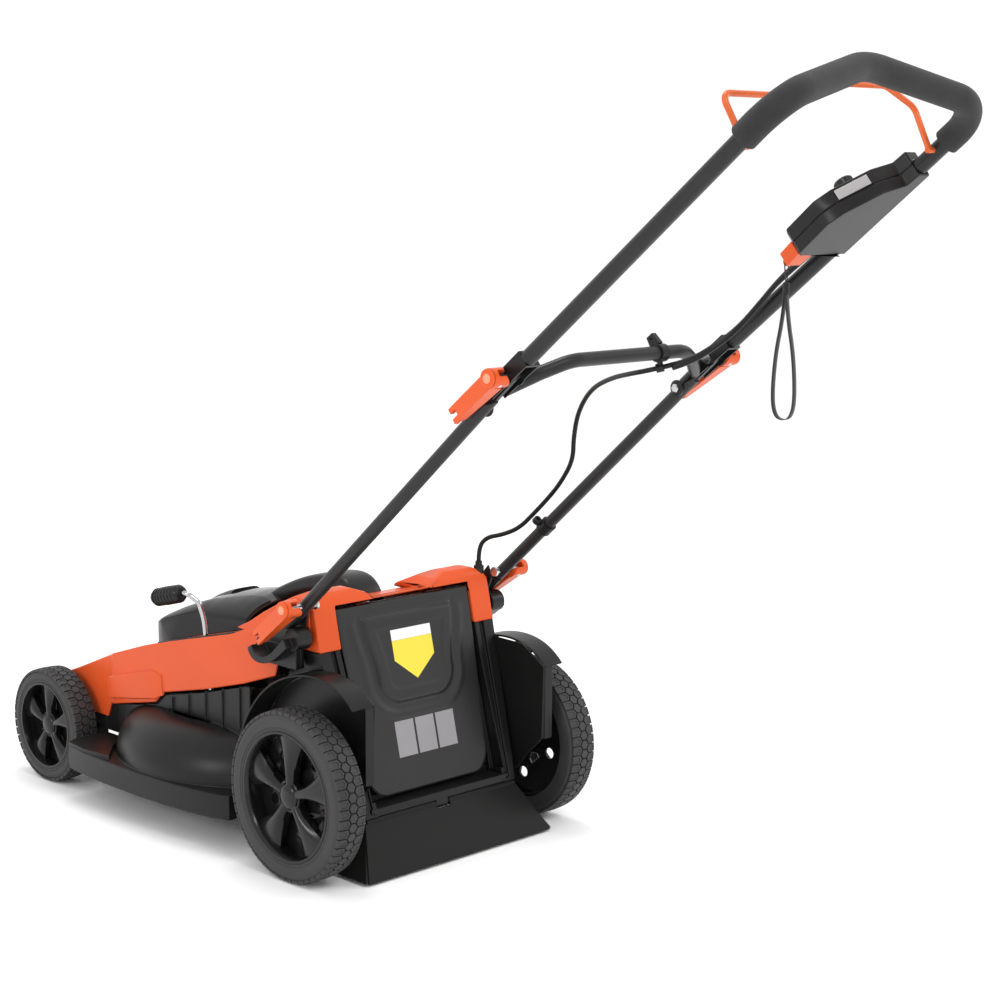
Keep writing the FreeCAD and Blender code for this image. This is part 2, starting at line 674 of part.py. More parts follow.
def motor_housing():
    can = rod((0, SPINDLE_Y, 142), (0, SPINDLE_Y, 196), 62)
    can = can.cut(rod((0, SPINDLE_Y, 145), (0, SPINDLE_Y, 193), 58))
    flange = rod((0, SPINDLE_Y, 118.2), (0, SPINDLE_Y, 142), 36).cut(
        rod((0, SPINDLE_Y, 117), (0, SPINDLE_Y, 143), 17))
    plate = rod((0, SPINDLE_Y, 139), (0, SPINDLE_Y, 142), 62).cut(
        rod((0, SPINDLE_Y, 138), (0, SPINDLE_Y, 143), 17))
    return fuse([can, plate, flange]).cut(rod((0, SPINDLE_Y, 110), (0, SPINDLE_Y, 200), 17))


def motor_stator():
    return ring((0, SPINDLE_Y, 150), (0, SPINDLE_Y, 184), 57.5, 34)


def spindle_bearings():
    rings = []
    for low, high in ((118.5, 130.5), (184.5, 195.5)):
        rings.append(ring((0, SPINDLE_Y, low), (0, SPINDLE_Y, high), 17, 8 + RUNNING_FIT))
    return Part.makeCompound(rings)


def motor_rotor():
    return ring((0, SPINDLE_Y, 148), (0, SPINDLE_Y, 181), 33, 8)


def blade_spindle():
    shaft = rod((0, SPINDLE_Y, 76), (0, SPINDLE_Y, 196), 8)
    return shaft.cut(rod((0, SPINDLE_Y, 70), (0, SPINDLE_Y, 92), 5))


def blade_adapter():
    hub = rod((0, SPINDLE_Y, 76), (0, SPINDLE_Y, 108), 22)
    disc = rod((0, SPINDLE_Y, 76), (0, SPINDLE_Y, 80), 45)
    vanes = []
    for k in range(8):
        vane = box((20, SPINDLE_Y - 1.5, 80), (44, SPINDLE_Y + 1.5, 92))
        vanes.append(turned(vane, (0, SPINDLE_Y, 0), (0, 0, 1), 45 * k))
    whole = fuse([hub, disc] + vanes)
    return whole.cut(rod((0, SPINDLE_Y, 70), (0, SPINDLE_Y, 120), 8))


def blade():
    half = 28.0
    bar = box((-BLADE_RADIUS + 2, SPINDLE_Y - half, 72), (BLADE_RADIUS - 2, SPINDLE_Y + half, 76))
    for sign in (1, -1):
        edge = top_plate([(sign * 120, SPINDLE_Y - sign * 28), (sign * 250, SPINDLE_Y - sign * 28),
                          (sign * 250, SPINDLE_Y - sign * 18), (sign * 135, SPINDLE_Y - sign * 22)],
                         72, 74.5)
        bar = bar.cut(edge)
        lift = top_plate([(sign * 165, SPINDLE_Y + sign * 22), (sign * 244, SPINDLE_Y + sign * 22),
                          (sign * 240, SPINDLE_Y + sign * 28), (sign * 165, SPINDLE_Y + sign * 28)],
                         75.5, 90)
        bar = bar.fuse(lift)
    bar = bar.common(rod((0, SPINDLE_Y, 60), (0, SPINDLE_Y, 100), BLADE_RADIUS))
    return bar.cut(rod((0, SPINDLE_Y, 60), (0, SPINDLE_Y, 90), 5 + RUNNING_FIT)).removeSplitter()


def blade_bolt():
    head = rod((0, SPINDLE_Y, 62), (0, SPINDLE_Y, 69), 9)
    washer = rod((0, SPINDLE_Y, 69), (0, SPINDLE_Y, 72), 18)
    shank = rod((0, SPINDLE_Y, 72), (0, SPINDLE_Y, 90), 5)
    return fuse([head, washer, shank])


# ---------------------------------------------------------------- wheels and axles
def wheel_outline(radius, width):
    """Tyre section as (radius, offset from the outer face), with rounded shoulders."""
    bead = radius * 0.765
    r = 6.0
    return ([(bead, 0.4), (radius - 16, 0.0), (radius - r - 1, 1.4)]
            + arc_points((radius - r, 2 + r), r, 270, 360, 3)[1:]
            + arc_points((radius - r, width - 2 - r), r, 0, 90, 3)
            + [(radius - 16, width), (bead, width - 0.4)])


def wheel_parts(radius, width, face, y):
    """Tyre, rim and hub cap of a left-hand wheel, whose outer face is towards +X."""
    centre = (face, y, radius)
    inward = (-1, 0, 0)
    bead = radius * 0.765
    tyre = revolved(wheel_outline(radius, width), centre, inward)
    hub = 22.0
    dish = 13.0
    ring_section = [(bead - 9, 6), (bead - 4, 2), (bead, 2), (bead, width - 2), (bead - 4, width - 2),
                    (bead - 7, width - 8), (bead - 7, dish + 10)]
    web = ring_section + [(hub + 6, dish + 4), (hub, width), (AXLE_RADIUS + RUNNING_FIT, width),
                          (AXLE_RADIUS + RUNNING_FIT, 10), (hub - 6, 10), (hub - 6, 3.6), (hub, 3.6),
                          (hub + 3, dish - 5), (bead - 12, dish)]
    rim = revolved(web, centre, inward)
    for k in range(5):
        rim = rim.cut(turned(spoke_gap(radius, width, face, y), centre, (1, 0, 0), 72 * k + 36))
    cap = revolved([(0, -1.4), (8, -1.0), (14, 0.4), (hub - 6.2, 3.4), (hub - 6.2, 5), (0, 5)],
                   centre, inward)
    return tyre, rim, cap


def spoke_gap(radius, width, face, y):
    """One rounded window between two spokes, tapering to the hub."""
    outer = radius * 0.585
    inner = radius * 0.335
    wide = radius * 0.135
    slim = radius * 0.055
    outline = (arc_points((y, radius + outer), wide, -10, 190, 8)
               + arc_points((y, radius + inner), slim, 190, 350, 5))
    return side_plate(outline, face - width - 1, face + 1)


def crank_axle(pivot, wheel, arm_x, arm_thick, stub_end, rod_half):
    """A cross rod with a flat crank and a stub axle at each end."""
    cross = rod((-rod_half, pivot[0], pivot[1]), (rod_half, pivot[0], pivot[1]), AXLE_RADIUS)
    shapes = [cross]
    for sign in (1, -1):
        ends = []
        for y, z in (pivot, wheel):
            ends.append(rod((sign * arm_x, y, z), (sign * (arm_x + arm_thick), y, z), 11))
        angle = math.degrees(math.atan2(wheel[1] - pivot[1], wheel[0] - pivot[0]))
        reach = math.hypot(wheel[0] - pivot[0], wheel[1] - pivot[1])
        low = min(sign * arm_x, sign * (arm_x + arm_thick))
        bar = box((low, pivot[0], pivot[1] - 10), (low + arm_thick, pivot[0] + reach, pivot[1] + 10))
        bar = turned(bar, (0, pivot[0], pivot[1]), (1, 0, 0), angle)
        stub = rod((sign * arm_x, wheel[0], wheel[1]), (sign * stub_end, wheel[0], wheel[1]),
                   AXLE_RADIUS)
        shapes += ends + [bar, stub]
    return fuse(shapes)


def axle_clips(wheel, face):
    clip = ring((face - 9.5, wheel[0], wheel[1]), (face - 7.5, wheel[0], wheel[1]), 11, AXLE_RADIUS)
    return both(clip)


def axle_bushes(pivot, x_low, x_high, half):
    block = box((x_low, pivot[0] - half, pivot[1] - half), (x_high, pivot[0] + half, pivot[1] + half))
    bore = rod((x_low - 1, pivot[0], pivot[1]), (x_high + 1, pivot[0], pivot[1]),
               AXLE_RADIUS + RUNNING_FIT)
    return both(block.cut(bore))


# ---------------------------------------------------------------- height lever
LEVER_ROUTE = [(LEVER_X, -287, 133), (LEVER_X, -312, 325), (171, -317, 352), (184, -331, 368),
               (189, -396, 352)]


def height_lever():
    points = [V(*p) for p in LEVER_ROUTE]
    path = rounded_path(points, [120, 16, 16])
    bar = swept(path, 4.0)
    y, z = LEVER_PIVOT
    hub = rod((LEVER_X - 6, y, z), (LEVER_X + 6, y, z), 11)
    return fuse([bar, hub]).cut(rod((LEVER_X - 20, y, z), (LEVER_X + 20, y, z), 5 + RUNNING_FIT))


def lever_grip():
    start = V(*LEVER_ROUTE[3])
    along = (V(*LEVER_ROUTE[4]) - start).normalize()
    low = start + along * 12
    section = [(4.1, 0), (11, 0), (14.5, 6), (15, 34), (14, 58), (10.5, 66), (0, 67), (0, 60),
               (4.1, 60)]
    side = along.cross(X_AXIS).normalize()
    points = [low + side * r + along * h for r, h in section]
    grip = face_of(points).revolve(low, along, 360)
    for k in range(7):
        at = 10 + 7.5 * k
        groove = ring(tuple(low + along * at), tuple(low + along * (at + 2.6)), 20, 13)
        grip = grip.cut(groove)
    return grip


def lever_pin():
    y, z = LEVER_PIVOT
    return rod((LEVER_X - 17, y, z), (LEVER_X + 6, y, z), 5)


# ---------------------------------------------------------------- lower handle
def lower_tube():
    """A round tube whose upper end is pressed flat where it laps inside the upper handle."""
    length = lower_length()
    lap = length - LAP_LENGTH
    tube = ring(tuple(on_lower(LOWER_TUBE_X, -13, 0)), tuple(on_lower(LOWER_TUBE_X, lap - 16, 0)),
                LOWER_TUBE_RADIUS, LOWER_TUBE_RADIUS - TUBE_WALL)
    end = rod(tuple(on_lower(LOWER_TUBE_X, lap - 16, 0)),
              tuple(on_lower(LOWER_TUBE_X, length, 0)), LOWER_TUBE_RADIUS)
    wide = LOWER_TUBE_RADIUS + 0.5
    outline = [(-wide, lap - 20), (wide, lap - 20), (wide, lap - 14), (LAP_HALF, lap),
               (LAP_HALF, length + 20), (-LAP_HALF, length + 20), (-LAP_HALF, lap),
               (-wide, lap - 14)]
    pressed = face_of([on_lower(LOWER_TUBE_X + x, t, -20) for x, t in outline])
    end = end.common(pressed.extrude(LOW_SQUARE * 40))
    for inner, outer in ((LAP_RISE, 20), (-20, -LAP_RISE)):
        corners = [(lap, inner), (length + 20, inner), (length + 20, outer), (lap, outer)]
        shave = face_of([on_lower(LOWER_TUBE_X - 10, t, n) for t, n in corners])
        end = end.cut(shave.extrude(V(20, 0, 0)))
    y, z = FOLD_HIGH
    nose = rod((LOWER_TUBE_X - LAP_HALF, y, z), (LOWER_TUBE_X + LAP_HALF, y, z), LAP_RISE)
    tube = tube.fuse(end).fuse(nose).removeSplitter()
    for y, z in (FOLD_LOW, FOLD_HIGH):
        tube = tube.cut(rod((170, y, z), (230, y, z), 4 + RUNNING_FIT))
    return tube


def lower_length():
    return math.hypot(FOLD_HIGH[0] - FOLD_LOW[0], FOLD_HIGH[1] - FOLD_LOW[1])


def fold_bolt(fold, inner_x, outer_x):
    """A through bolt with its head on the inside and a square foot for the cam lever."""
    y, z = fold
    shank = rod((inner_x, y, z), (outer_x, y, z), 4)
    head = rod((inner_x - 4, y, z), (inner_x, y, z), 7.5)
    return shank.fuse(head)


LEVER_OUT = 214.0                # inner side of the cam levers' round boss
LEVER_PIN_X = 227.5              # the cam lever's own pivot pin, inside the boss
LEVER_RISE = LOW_RISE - math.radians(6)   # slope of a closed cam lever


def cam_lever(fold, slope):
    """A cam lever: round boss on the bolt's end and a channel arm down along the tube."""
    y, z = fold
    down = V(0, -math.cos(slope), -math.sin(slope))
    square = V(0, -math.sin(slope), math.cos(slope))
    centre = V(0, y, z)

    def at(x, along, up):
        return centre + V(x, 0, 0) + down * along + square * up

    def block(outline, low, high):
        face = face_of([at(x, t, low) for x, t in outline])
        return face.extrude(square * (high - low))

    pin_x = LEVER_PIN_X
    boss = rod(tuple(at(LEVER_OUT, 0, 0)), tuple(at(LEVER_OUT + 27, 0, 0)), 13)
    corner = block([(LEVER_OUT - 1, -14), (pin_x, -14), (pin_x, 0), (LEVER_OUT - 1, 0)], -14, 14)
    round_part = rod(tuple(at(pin_x, 0, -15)), tuple(at(pin_x, 0, 15)), 13.3)
    boss = boss.cut(corner.cut(round_part))
    cap = rod(tuple(at(LEVER_OUT + 26, 0, 0)), tuple(at(LEVER_OUT + 28, 0, 0)), 8)
    arm = block([(LEVER_OUT + 18, 4), (LEVER_OUT + 25, 8), (LEVER_OUT + 19, 66),
                 (LEVER_OUT + 15, 99), (LEVER_OUT + 8, 99), (LEVER_OUT + 12, 64)], -11, 11)
    rail = [(LEVER_OUT + 2, 10), (LEVER_OUT + 20, 8), (LEVER_OUT + 15, 99), (LEVER_OUT + 3, 88)]
    walls = [block(rail, low, low + 3) for low in (-11, 8)]
    notch = block([(LEVER_OUT, 86), (LEVER_OUT + 30, 86), (LEVER_OUT + 30, 110), (LEVER_OUT, 110)],
                  -4, 4)
    whole = fuse([boss, cap, arm] + walls).cut(notch)
    slot_half = 4.7
    slot = block([(LEVER_OUT - 1, -15), (pin_x + 6.4, -15), (pin_x + 6.4, 0), (pin_x, 5),
                  (LEVER_OUT - 1, 5)], -slot_half, slot_half)
    slot = slot.fuse(rod(tuple(at(pin_x, 0, -slot_half)), tuple(at(pin_x, 0, slot_half)), 6.4))
    pin_bore = rod(tuple(at(pin_x, 0, -20)), tuple(at(pin_x, 0, 20)), 3 + RUNNING_FIT)
    return biggest(whole.cut(slot).cut(pin_bore))


def cam_pins(fold, slope):
    y, z = fold
    square = V(0, -math.sin(slope), math.cos(slope))
    centre = V(LEVER_PIN_X, y, z)
    return rod(tuple(centre - square * 12.8), tuple(centre + square * 12.8), 3)


def bolt_and_pin(fold, slope, inner_x):
    whole = fold_bolt(fold, inner_x, LEVER_PIN_X + 4).fuse(cam_pins(fold, slope))
    return whole.removeSplitter()


def lower_cable_clip():
    """A snap collar on the right lower tube with a loop for the lead."""
    collar = ring(tuple(on_lower(-LOWER_TUBE_X, 116, 0)), tuple(on_lower(-LOWER_TUBE_X, 134, 0)),
                  LOWER_TUBE_RADIUS + 3, LOWER_TUBE_RADIUS)
    loop = ring(tuple(on_lower(-186.5, 122, 12)), tuple(on_lower(-186.5, 130, 12)), 6.5, 3.9)
    return collar.fuse(loop.cut(rod(tuple(on_lower(-LOWER_TUBE_X, 110, 0)),
                                    tuple(on_lower(-LOWER_TUBE_X, 140, 0)),
                                    LOWER_TUBE_RADIUS + 1))).removeSplitter()


# ---------------------------------------------------------------- upper handle
SLEEVE_LENGTH = 64.0
LAP_LENGTH = 44.0                # flattened end of the lower tube, below the fold axis
LAP_HALF = 3.0                   # half its thickness
LAP_RISE = 7.5                   # half its height, and the radius of its rounded end
UPPER_START = 40.0               # start of the round upper tube, above the fold axis


def loop_path(start_along):
    points = [on_handle(UPPER_TUBE_X, start_along, 0), on_handle(UPPER_TUBE_X, BAR_REACH, 0),
              on_handle(0, BAR_REACH, BAR_HUMP), on_handle(-UPPER_TUBE_X, BAR_REACH, 0),
              on_handle(-UPPER_TUBE_X, start_along, 0)]
    return rounded_path(points, [LOOP_CORNER, 100, LOOP_CORNER])


def upper_handle_tube():
    """One bent tube: up the left side, across as the hand bar, and down the right side."""
    path = loop_path(UPPER_START)
    tube = swept(path, UPPER_TUBE_RADIUS).cut(swept(path, UPPER_TUBE_RADIUS - TUBE_WALL))
    for sign in (1, -1):
        hole = rod(tuple(on_handle(sign * 184, BAIL_ALONG, 0)),
                   tuple(on_handle(sign * UPPER_TUBE_X, BAIL_ALONG, 0)), BAIL_RADIUS + RUNNING_FIT)
        tube = tube.cut(hole)
    return tube


GRIP_START = 473.0


def foam_grip():
    path = loop_path(GRIP_START)
    return swept(path, GRIP_RADIUS).cut(swept(path, UPPER_TUBE_RADIUS))


def joint_sleeve():
    """A fork on the upper tube's end: two cheeks beside the lower tube and a roof over it."""
    outer = 12.6
    inner = 10.1
    length = lower_length()
    y, z = FOLD_HIGH
    tube = ring(tuple(on_lower(LOWER_TUBE_X, length + 15, 0)),
                tuple(on_lower(LOWER_TUBE_X, length - SLEEVE_LENGTH, 0)), outer, inner)
    keep = [on_lower(170, length + t, s) for t, s in ((20, 0.5), (20, 20), (-80, 20), (-80, 0.5))]
    roof = tube.common(face_of(keep).extrude(V(60, 0, 0)))
    start = UPPER_START
    shapes = [roof]
    for x in (187.0, 209.8):
        disc = rod((x, y, z), (x + 2.2, y, z), 12)
        face = face_of([on_handle(x, -38, -9), on_handle(x, start - 1, -11),
                        on_handle(x, start - 1, 12), on_handle(x, -38, 12)])
        shapes += [disc, face.extrude(V(2.2, 0, 0))]
    face = face_of([on_handle(187, start - 4, -11), on_handle(187, start, -11),
                    on_handle(187, start, 12), on_handle(187, start - 4, 12)])
    shapes.append(face.extrude(V(25, 0, 0)))
    shapes.append(rod(tuple(on_handle(UPPER_TUBE_X, start, 0)),
                      tuple(on_handle(UPPER_TUBE_X, start + 26, 0)), UPPER_TUBE_RADIUS - TUBE_WALL))
    bore = rod((170, y, z), (230, y, z), 4 + RUNNING_FIT)
    return biggest(fuse(shapes).cut(bore))


def crossbar():
    points = [on_handle(197, -38, 0), on_handle(150, 2, 0), on_handle(112, 26, 0),
              on_handle(-112, 26, 0), on_handle(-150, 2, 0), on_handle(-197, -38, 0)]
    path = rounded_path(points, [70, 60, 60, 70])
    keep = box((-187, 300, 650), (187, 500, 850))
    return biggest(swept(path, LOWER_TUBE_RADIUS).common(keep))


CROSS_CLIP_X = -62.0
LEAD_RING = on_handle(CROSS_CLIP_X - 2, 12, -15)     # middle of the ring that holds the lead
RING_AXIS = V(-0.55, 0.80, 0.24).normalize()


def crossbar_clip():
    """A clamp collar on the crossbar with a tab above and a ring for the lead below."""
    x0 = CROSS_CLIP_X - 7
    x1 = CROSS_CLIP_X + 7
    centre = on_handle(CROSS_CLIP_X, 26, 0)
    collar = rod((x0, centre.y, centre.z), (x1, centre.y, centre.z), LOWER_TUBE_RADIUS + 3)
    face = face_of([on_handle(x0 + 3, 18, 10), on_handle(x0 + 3, 36, 10), on_handle(x0 + 3, 33, 28),
                    on_handle(x0 + 3, 21, 28)])
    tab = face.extrude(V(8, 0, 0))
    hole = rod(tuple(on_handle(x0, 27, 21)), tuple(on_handle(x1, 27, 21)), 3.2)
    neck = rod(tuple(LEAD_RING), tuple(centre), 4)
    loop = rod(tuple(LEAD_RING - RING_AXIS * 5), tuple(LEAD_RING + RING_AXIS * 5), 6.2)
    way = rod(tuple(LEAD_RING - RING_AXIS * 12), tuple(LEAD_RING + RING_AXIS * 12),
              CABLE_RADIUS + 0.05)
    bar_bore = rod((x0 - 1, centre.y, centre.z), (x1 + 1, centre.y, centre.z), LOWER_TUBE_RADIUS)
    return biggest(fuse([collar, tab, neck, loop]).cut(hole).cut(way).cut(bar_bore))


# ---------------------------------------------------------------- switch box, key and button
SWITCH_PLAN = [(-214, 256), (-120, 256), (-110, 264), (-106, 322), (-116, 346), (-156, 388),
               (-188, 402), (-190, 424), (-214, 424)]


def switch_space(inset, low, high):
    plan = []
    for x, t in SWITCH_PLAN:
        plan.append((x + (inset if x < -200 else -inset), t + (inset if t < 300 else -inset)))
    return handle_prism(plan, low, high)


def switch_half(low, high, inner_low, inner_high):
    shell = switch_space(0, low, high).cut(switch_space(2.5, inner_low, inner_high))
    tube_way = rod(tuple(on_handle(-UPPER_TUBE_X, 240, 0)), tuple(on_handle(-UPPER_TUBE_X, 440, 0)),
                   UPPER_TUBE_RADIUS)
    shell = shell.cut(tube_way)
    mouth = handle_prism([(-152, 250), (-124, 250), (-124, 262), (-152, 262)], -6.4, 10.4)
    return shell.cut(mouth)


def switch_housing_lower():
    return biggest(switch_half(-13, 5, -10.5, 6))


def switch_housing_upper():
    shell = switch_half(5, 25, 4, 22.5)
    hole = rod(tuple(on_handle(*BUTTON_AT, 20)), tuple(on_handle(*BUTTON_AT, 30)), 9.3)
    return biggest(shell.cut(hole))


BUTTON_AT = (-168, 338)


def start_button():
    stem = rod(tuple(on_handle(*BUTTON_AT, 18)), tuple(on_handle(*BUTTON_AT, 33)), 9)
    head = rod(tuple(on_handle(*BUTTON_AT, 31)), tuple(on_handle(*BUTTON_AT, 38)), 13)
    return stem.fuse(head).removeSplitter()


def switch_module():
    block = handle_prism([(-184, 320), (-152, 320), (-152, 356), (-184, 356)], -8, 11)
    return block


def safety_key():
    tongue = handle_prism([(-148, 250), (-128, 250), (-128, 300), (-148, 300)], -4, 8)
    wedge = handle_prism([(-152, 228), (-124, 228), (-120, 255.4), (-156, 255.4)], -8, 12)
    eye = rod(tuple(on_handle(-141, 224, 2)), tuple(on_handle(-135, 224, 2)), 6)
    whole = fuse([tongue, wedge, eye])
    return whole.cut(rod(tuple(on_handle(-160, 222, 2)), tuple(on_handle(-110, 222, 2)), 1.6))


KEY_EYE = on_handle(-138, 222, 2)
FERRULE_TOP = 26.0               # below the key's eye
FERRULE_LENGTH = 16.0
STRAP_DROP = 168.0               # length of the hanging strap loop
STRAP_WIDTH = 8.0
STRAP_THICK = 1.2


def lanyard_string():
    """A thin cord through the key's eye, both ends going down into the ferrule."""
    half = 4.1
    low = -FERRULE_TOP
    places = [(-0.95, low), (-half, -7), (-half, 0), (half, 0), (half, -7), (0.95, low)]
    points = [KEY_EYE + V(x, 0, z) for x, z in places]
    return swept(rounded_path(points, [12, 1.5, 1.5, 12]), 0.85)


def lanyard_ferrule():
    top = KEY_EYE + V(0, 0, -FERRULE_TOP)
    low = top + V(0, 0, -FERRULE_LENGTH)
    return rod(tuple(top), tuple(low), 4.4)


def lanyard_strap():
    """A teardrop loop of flat webbing hanging below the ferrule."""
    top = KEY_EYE + V(0, 0, -FERRULE_TOP - FERRULE_LENGTH)

    def ring_face(half, drop):
        left = [(-1.4, 0), (-4, -30), (-half + 4, -80), (-half, -drop + 30), (-half * 0.7, -drop + 6),
                (0, -drop)]
        right = [(0, -drop), (half * 0.7, -drop + 6), (half, -drop + 30), (half - 4, -80), (4, -30),
                 (1.4, 0)]
        return left, right

    left, right = ring_face(19, STRAP_DROP)
    inner_left = [(y + STRAP_THICK, z + (0 if z == 0 else STRAP_THICK * 0.6)) for y, z in left[:-1]]
    inner_right = [(y - STRAP_THICK, z + (0 if z == 0 else STRAP_THICK * 0.6)) for y, z in right[1:]]
    bottom = (0, -STRAP_DROP + STRAP_THICK)
    outer = left + right[1:]
    inner = inner_left + [bottom] + inner_right
    outer_edge = smooth_edge([top + V(-STRAP_WIDTH / 2, y, z) for y, z in outer])
    inner_edge = smooth_edge([top + V(-STRAP_WIDTH / 2, y, z) for y, z in inner])
    first = Part.makeLine(outer_edge.Vertexes[0].Point, inner_edge.Vertexes[0].Point)
    last = Part.makeLine(outer_edge.Vertexes[-1].Point, inner_edge.Vertexes[-1].Point)
    face = Part.Face(Part.Wire(Part.__sortEdges__([outer_edge, last, inner_edge, first])))
    return face.extrude(V(STRAP_WIDTH, 0, 0))


# ---------------------------------------------------------------- bail
BAIL_ALONG = 457.0               # the bail's pivots, along the upper tubes
BAIL_LEAN = 114.0                # degrees, the bail's lean when released
BAIL_ROUTE = [(183, 0), (195, 66), (92, 66), (25, 86), (-135, 86), (-182, 58), (-183, 0)]
BAIL_BENDS = [12, 24, 40, 30, 16]


def bail():
    lean = math.radians(BAIL_LEAN)
    out = V(0, math.cos(lean), math.sin(lean))
    pivot = on_handle(0, BAIL_ALONG, 0)
    points = [pivot + V(x, 0, 0) + out * s for x, s in BAIL_ROUTE]
    hoop = swept(rounded_path(points, BAIL_BENDS), BAIL_RADIUS)
    pins = []
    for sign in (1, -1):
        pins.append(rod((sign * 179, pivot.y, pivot.z), (sign * 197, pivot.y, pivot.z), BAIL_RADIUS))
    return fuse([hoop] + pins)


# ---------------------------------------------------------------- the lead from switch to motor
LOWER_CLIP_LOW = (-186.5, 63.7, 500.2)      # the lead just below the clip on the lower tube
LOWER_CLIP_HIGH = (-186.5, 70.2, 505.9)
DECK_LEAD = [(-168, -42, 412), (-168, -42, 434), (-172, -28, 451), (-180, -2, 457),
             (-186.5, 30, 471.1), LOWER_CLIP_LOW]
LOOSE_LEAD = [LOWER_CLIP_HIGH, (-186.5, 96, 529), (-180, 126, 556), (-168, 160, 592),
              (-152, 176, 630), (-134, 202, 672), (-110, 250, 710), (-84, 312, 731),
              (-62, 366, 742), tuple(LEAD_RING - RING_AXIS * 20), tuple(LEAD_RING)]
HANDLE_LEAD = [tuple(LEAD_RING), tuple(LEAD_RING + RING_AXIS * 22), (-104, 447, 767),
               (-140, 455, 784), (-170, 468, 806), tuple(on_handle(-184, 124, 6)),
               tuple(on_handle(-185.5, 165, 12)), tuple(on_handle(-184, 208, 12)),
               tuple(on_handle(-184, 255.3, 5))]


def lead_gland():
    """A round strain relief on the right-hand shoulder of the cover."""
    body = rod((-168, -42, 388), (-168, -42, 405), 8)
    neck = rod((-168, -42, 404), (-168, -42, 411.9), 5.5)
    return biggest(body.fuse(neck).removeSplitter().cut(horn(-1)))


# ---------------------------------------------------------------- assembly
def add(name, shape):
    nodes[name] = shape


def group(shapes):
    """Separate solids that share a node."""
    return Part.makeCompound([solid for shape in shapes for solid in shape.Solids])


def add_deck():
    add("deck_shell", deck_shell())
    add("top_cover", top_cover())
    add("height_quadrant", height_quadrant())
    add("rear_frame", rear_frame())
    add("discharge_chute", discharge_chute())
    add("fenders", both(fender()))
    add("handle_brackets", both(handle_bracket()))
    add("rear_door", rear_door())
    add("hinge_pins", group([door_hinge_rod(), door_springs(), flap_rod(), lever_pin()]))
    add("trailing_flap", trailing_flap())


def add_powerhead():
    add("powerhead_base", powerhead_base())
    add("battery_lid", battery_lid())
    add("carry_handle", carry_handle())
    add("battery_bay", group([battery_bay(), battery_terminals()]))
    add("battery_pack", battery_pack())
    add("controller", group([controller_board(), controller_heatsink()]))
    add("motor_housing", motor_housing())
    add("motor_stator", motor_stator())
    add("spindle_bearings", spindle_bearings())
    add("motor_rotor", motor_rotor())
    add("blade_spindle", blade_spindle())
    add("blade_adapter", blade_adapter())
    add("blade", blade())
    add("blade_bolt", blade_bolt())


def add_wheels():
    wheels = (("rear", REAR_WHEEL_RADIUS, REAR_TYRE_WIDTH, REAR_WHEEL_FACE, 0.0),
              ("front", FRONT_WHEEL_RADIUS, FRONT_TYRE_WIDTH, FRONT_WHEEL_FACE, -WHEELBASE))
    for place, radius, width, face, y in wheels:
        tyre, rim, cap = wheel_parts(radius, width, face, y)
        add("%s_tyre_left" % place, tyre)
        add("%s_tyre_right" % place, mirrored(tyre))
        add("%s_rim_left" % place, group([rim, cap]))
        add("%s_rim_right" % place, group([mirrored(rim), mirrored(cap)]))
    rear_pivot = (-CRANK_RUN, REAR_WHEEL_RADIUS - CRANK_RISE)
    front_pivot = (-WHEELBASE + CRANK_RUN, FRONT_WHEEL_RADIUS + FRONT_CRANK_DROP)
    rear_wheel = (0, REAR_WHEEL_RADIUS)
    front_wheel = (-WHEELBASE, FRONT_WHEEL_RADIUS)
    rear = crank_axle(rear_pivot, rear_wheel, 184, 8, REAR_WHEEL_FACE - 6.5, 190)
    front = crank_axle(front_pivot, front_wheel, 177, 6, FRONT_WHEEL_FACE - 6.5, 180)
    add("rear_axle", group([rear, axle_clips(rear_wheel, REAR_WHEEL_FACE)]))
    add("front_axle", group([front, axle_clips(front_wheel, FRONT_WHEEL_FACE)]))
    add("axle_bushes", group([axle_bushes(rear_pivot, 157, 170, 8),
                              axle_bushes(front_pivot, 150, 167.5, 11)]))
    add("height_lever", height_lever())
    add("lever_grip", lever_grip())


def add_lower_handle():
    add("lower_tubes", both(lower_tube()))
    add("lower_cable_clip", lower_cable_clip())
    add("lower_fold_bolts", both(bolt_and_pin(FOLD_LOW, LEVER_RISE, 183.4)))
    add("upper_fold_bolts", both(bolt_and_pin(FOLD_HIGH, LEVER_RISE, 186.6)))
    for place, fold in (("lower", FOLD_LOW), ("upper", FOLD_HIGH)):
        lever = cam_lever(fold, LEVER_RISE)
        add("cam_lever_%s_left" % place, lever)
        add("cam_lever_%s_right" % place, mirrored(lever))


def add_upper_handle():
    add("joint_sleeves", both(joint_sleeve()))
    add("upper_handle_tube", upper_handle_tube())
    add("foam_grip", foam_grip())
    add("crossbar", crossbar())
    add("crossbar_clip", crossbar_clip())
    add("switch_housing_lower", switch_housing_lower())
    add("switch_housing_upper", switch_housing_upper())
    add("switch_module", switch_module())
    add("start_button", start_button())
    add("safety_key", safety_key())
    add("lanyard", group([lanyard_string(), lanyard_ferrule(), lanyard_strap()]))
    add("bail", bail())


def add_lead():
    add("lead_gland", lead_gland())
    add("lead_at_deck", cord("lead_at_deck", DECK_LEAD, CABLE_RADIUS))
    add("lead_at_handle", group([cord("lead between the clips", LOOSE_LEAD, CABLE_RADIUS),
                                 cord("lead at the switch box", HANDLE_LEAD, CABLE_RADIUS)]))


def build():
    add_deck()
    add_powerhead()
    add_wheels()
    add_lower_handle()
    add_upper_handle()
    add_lead()


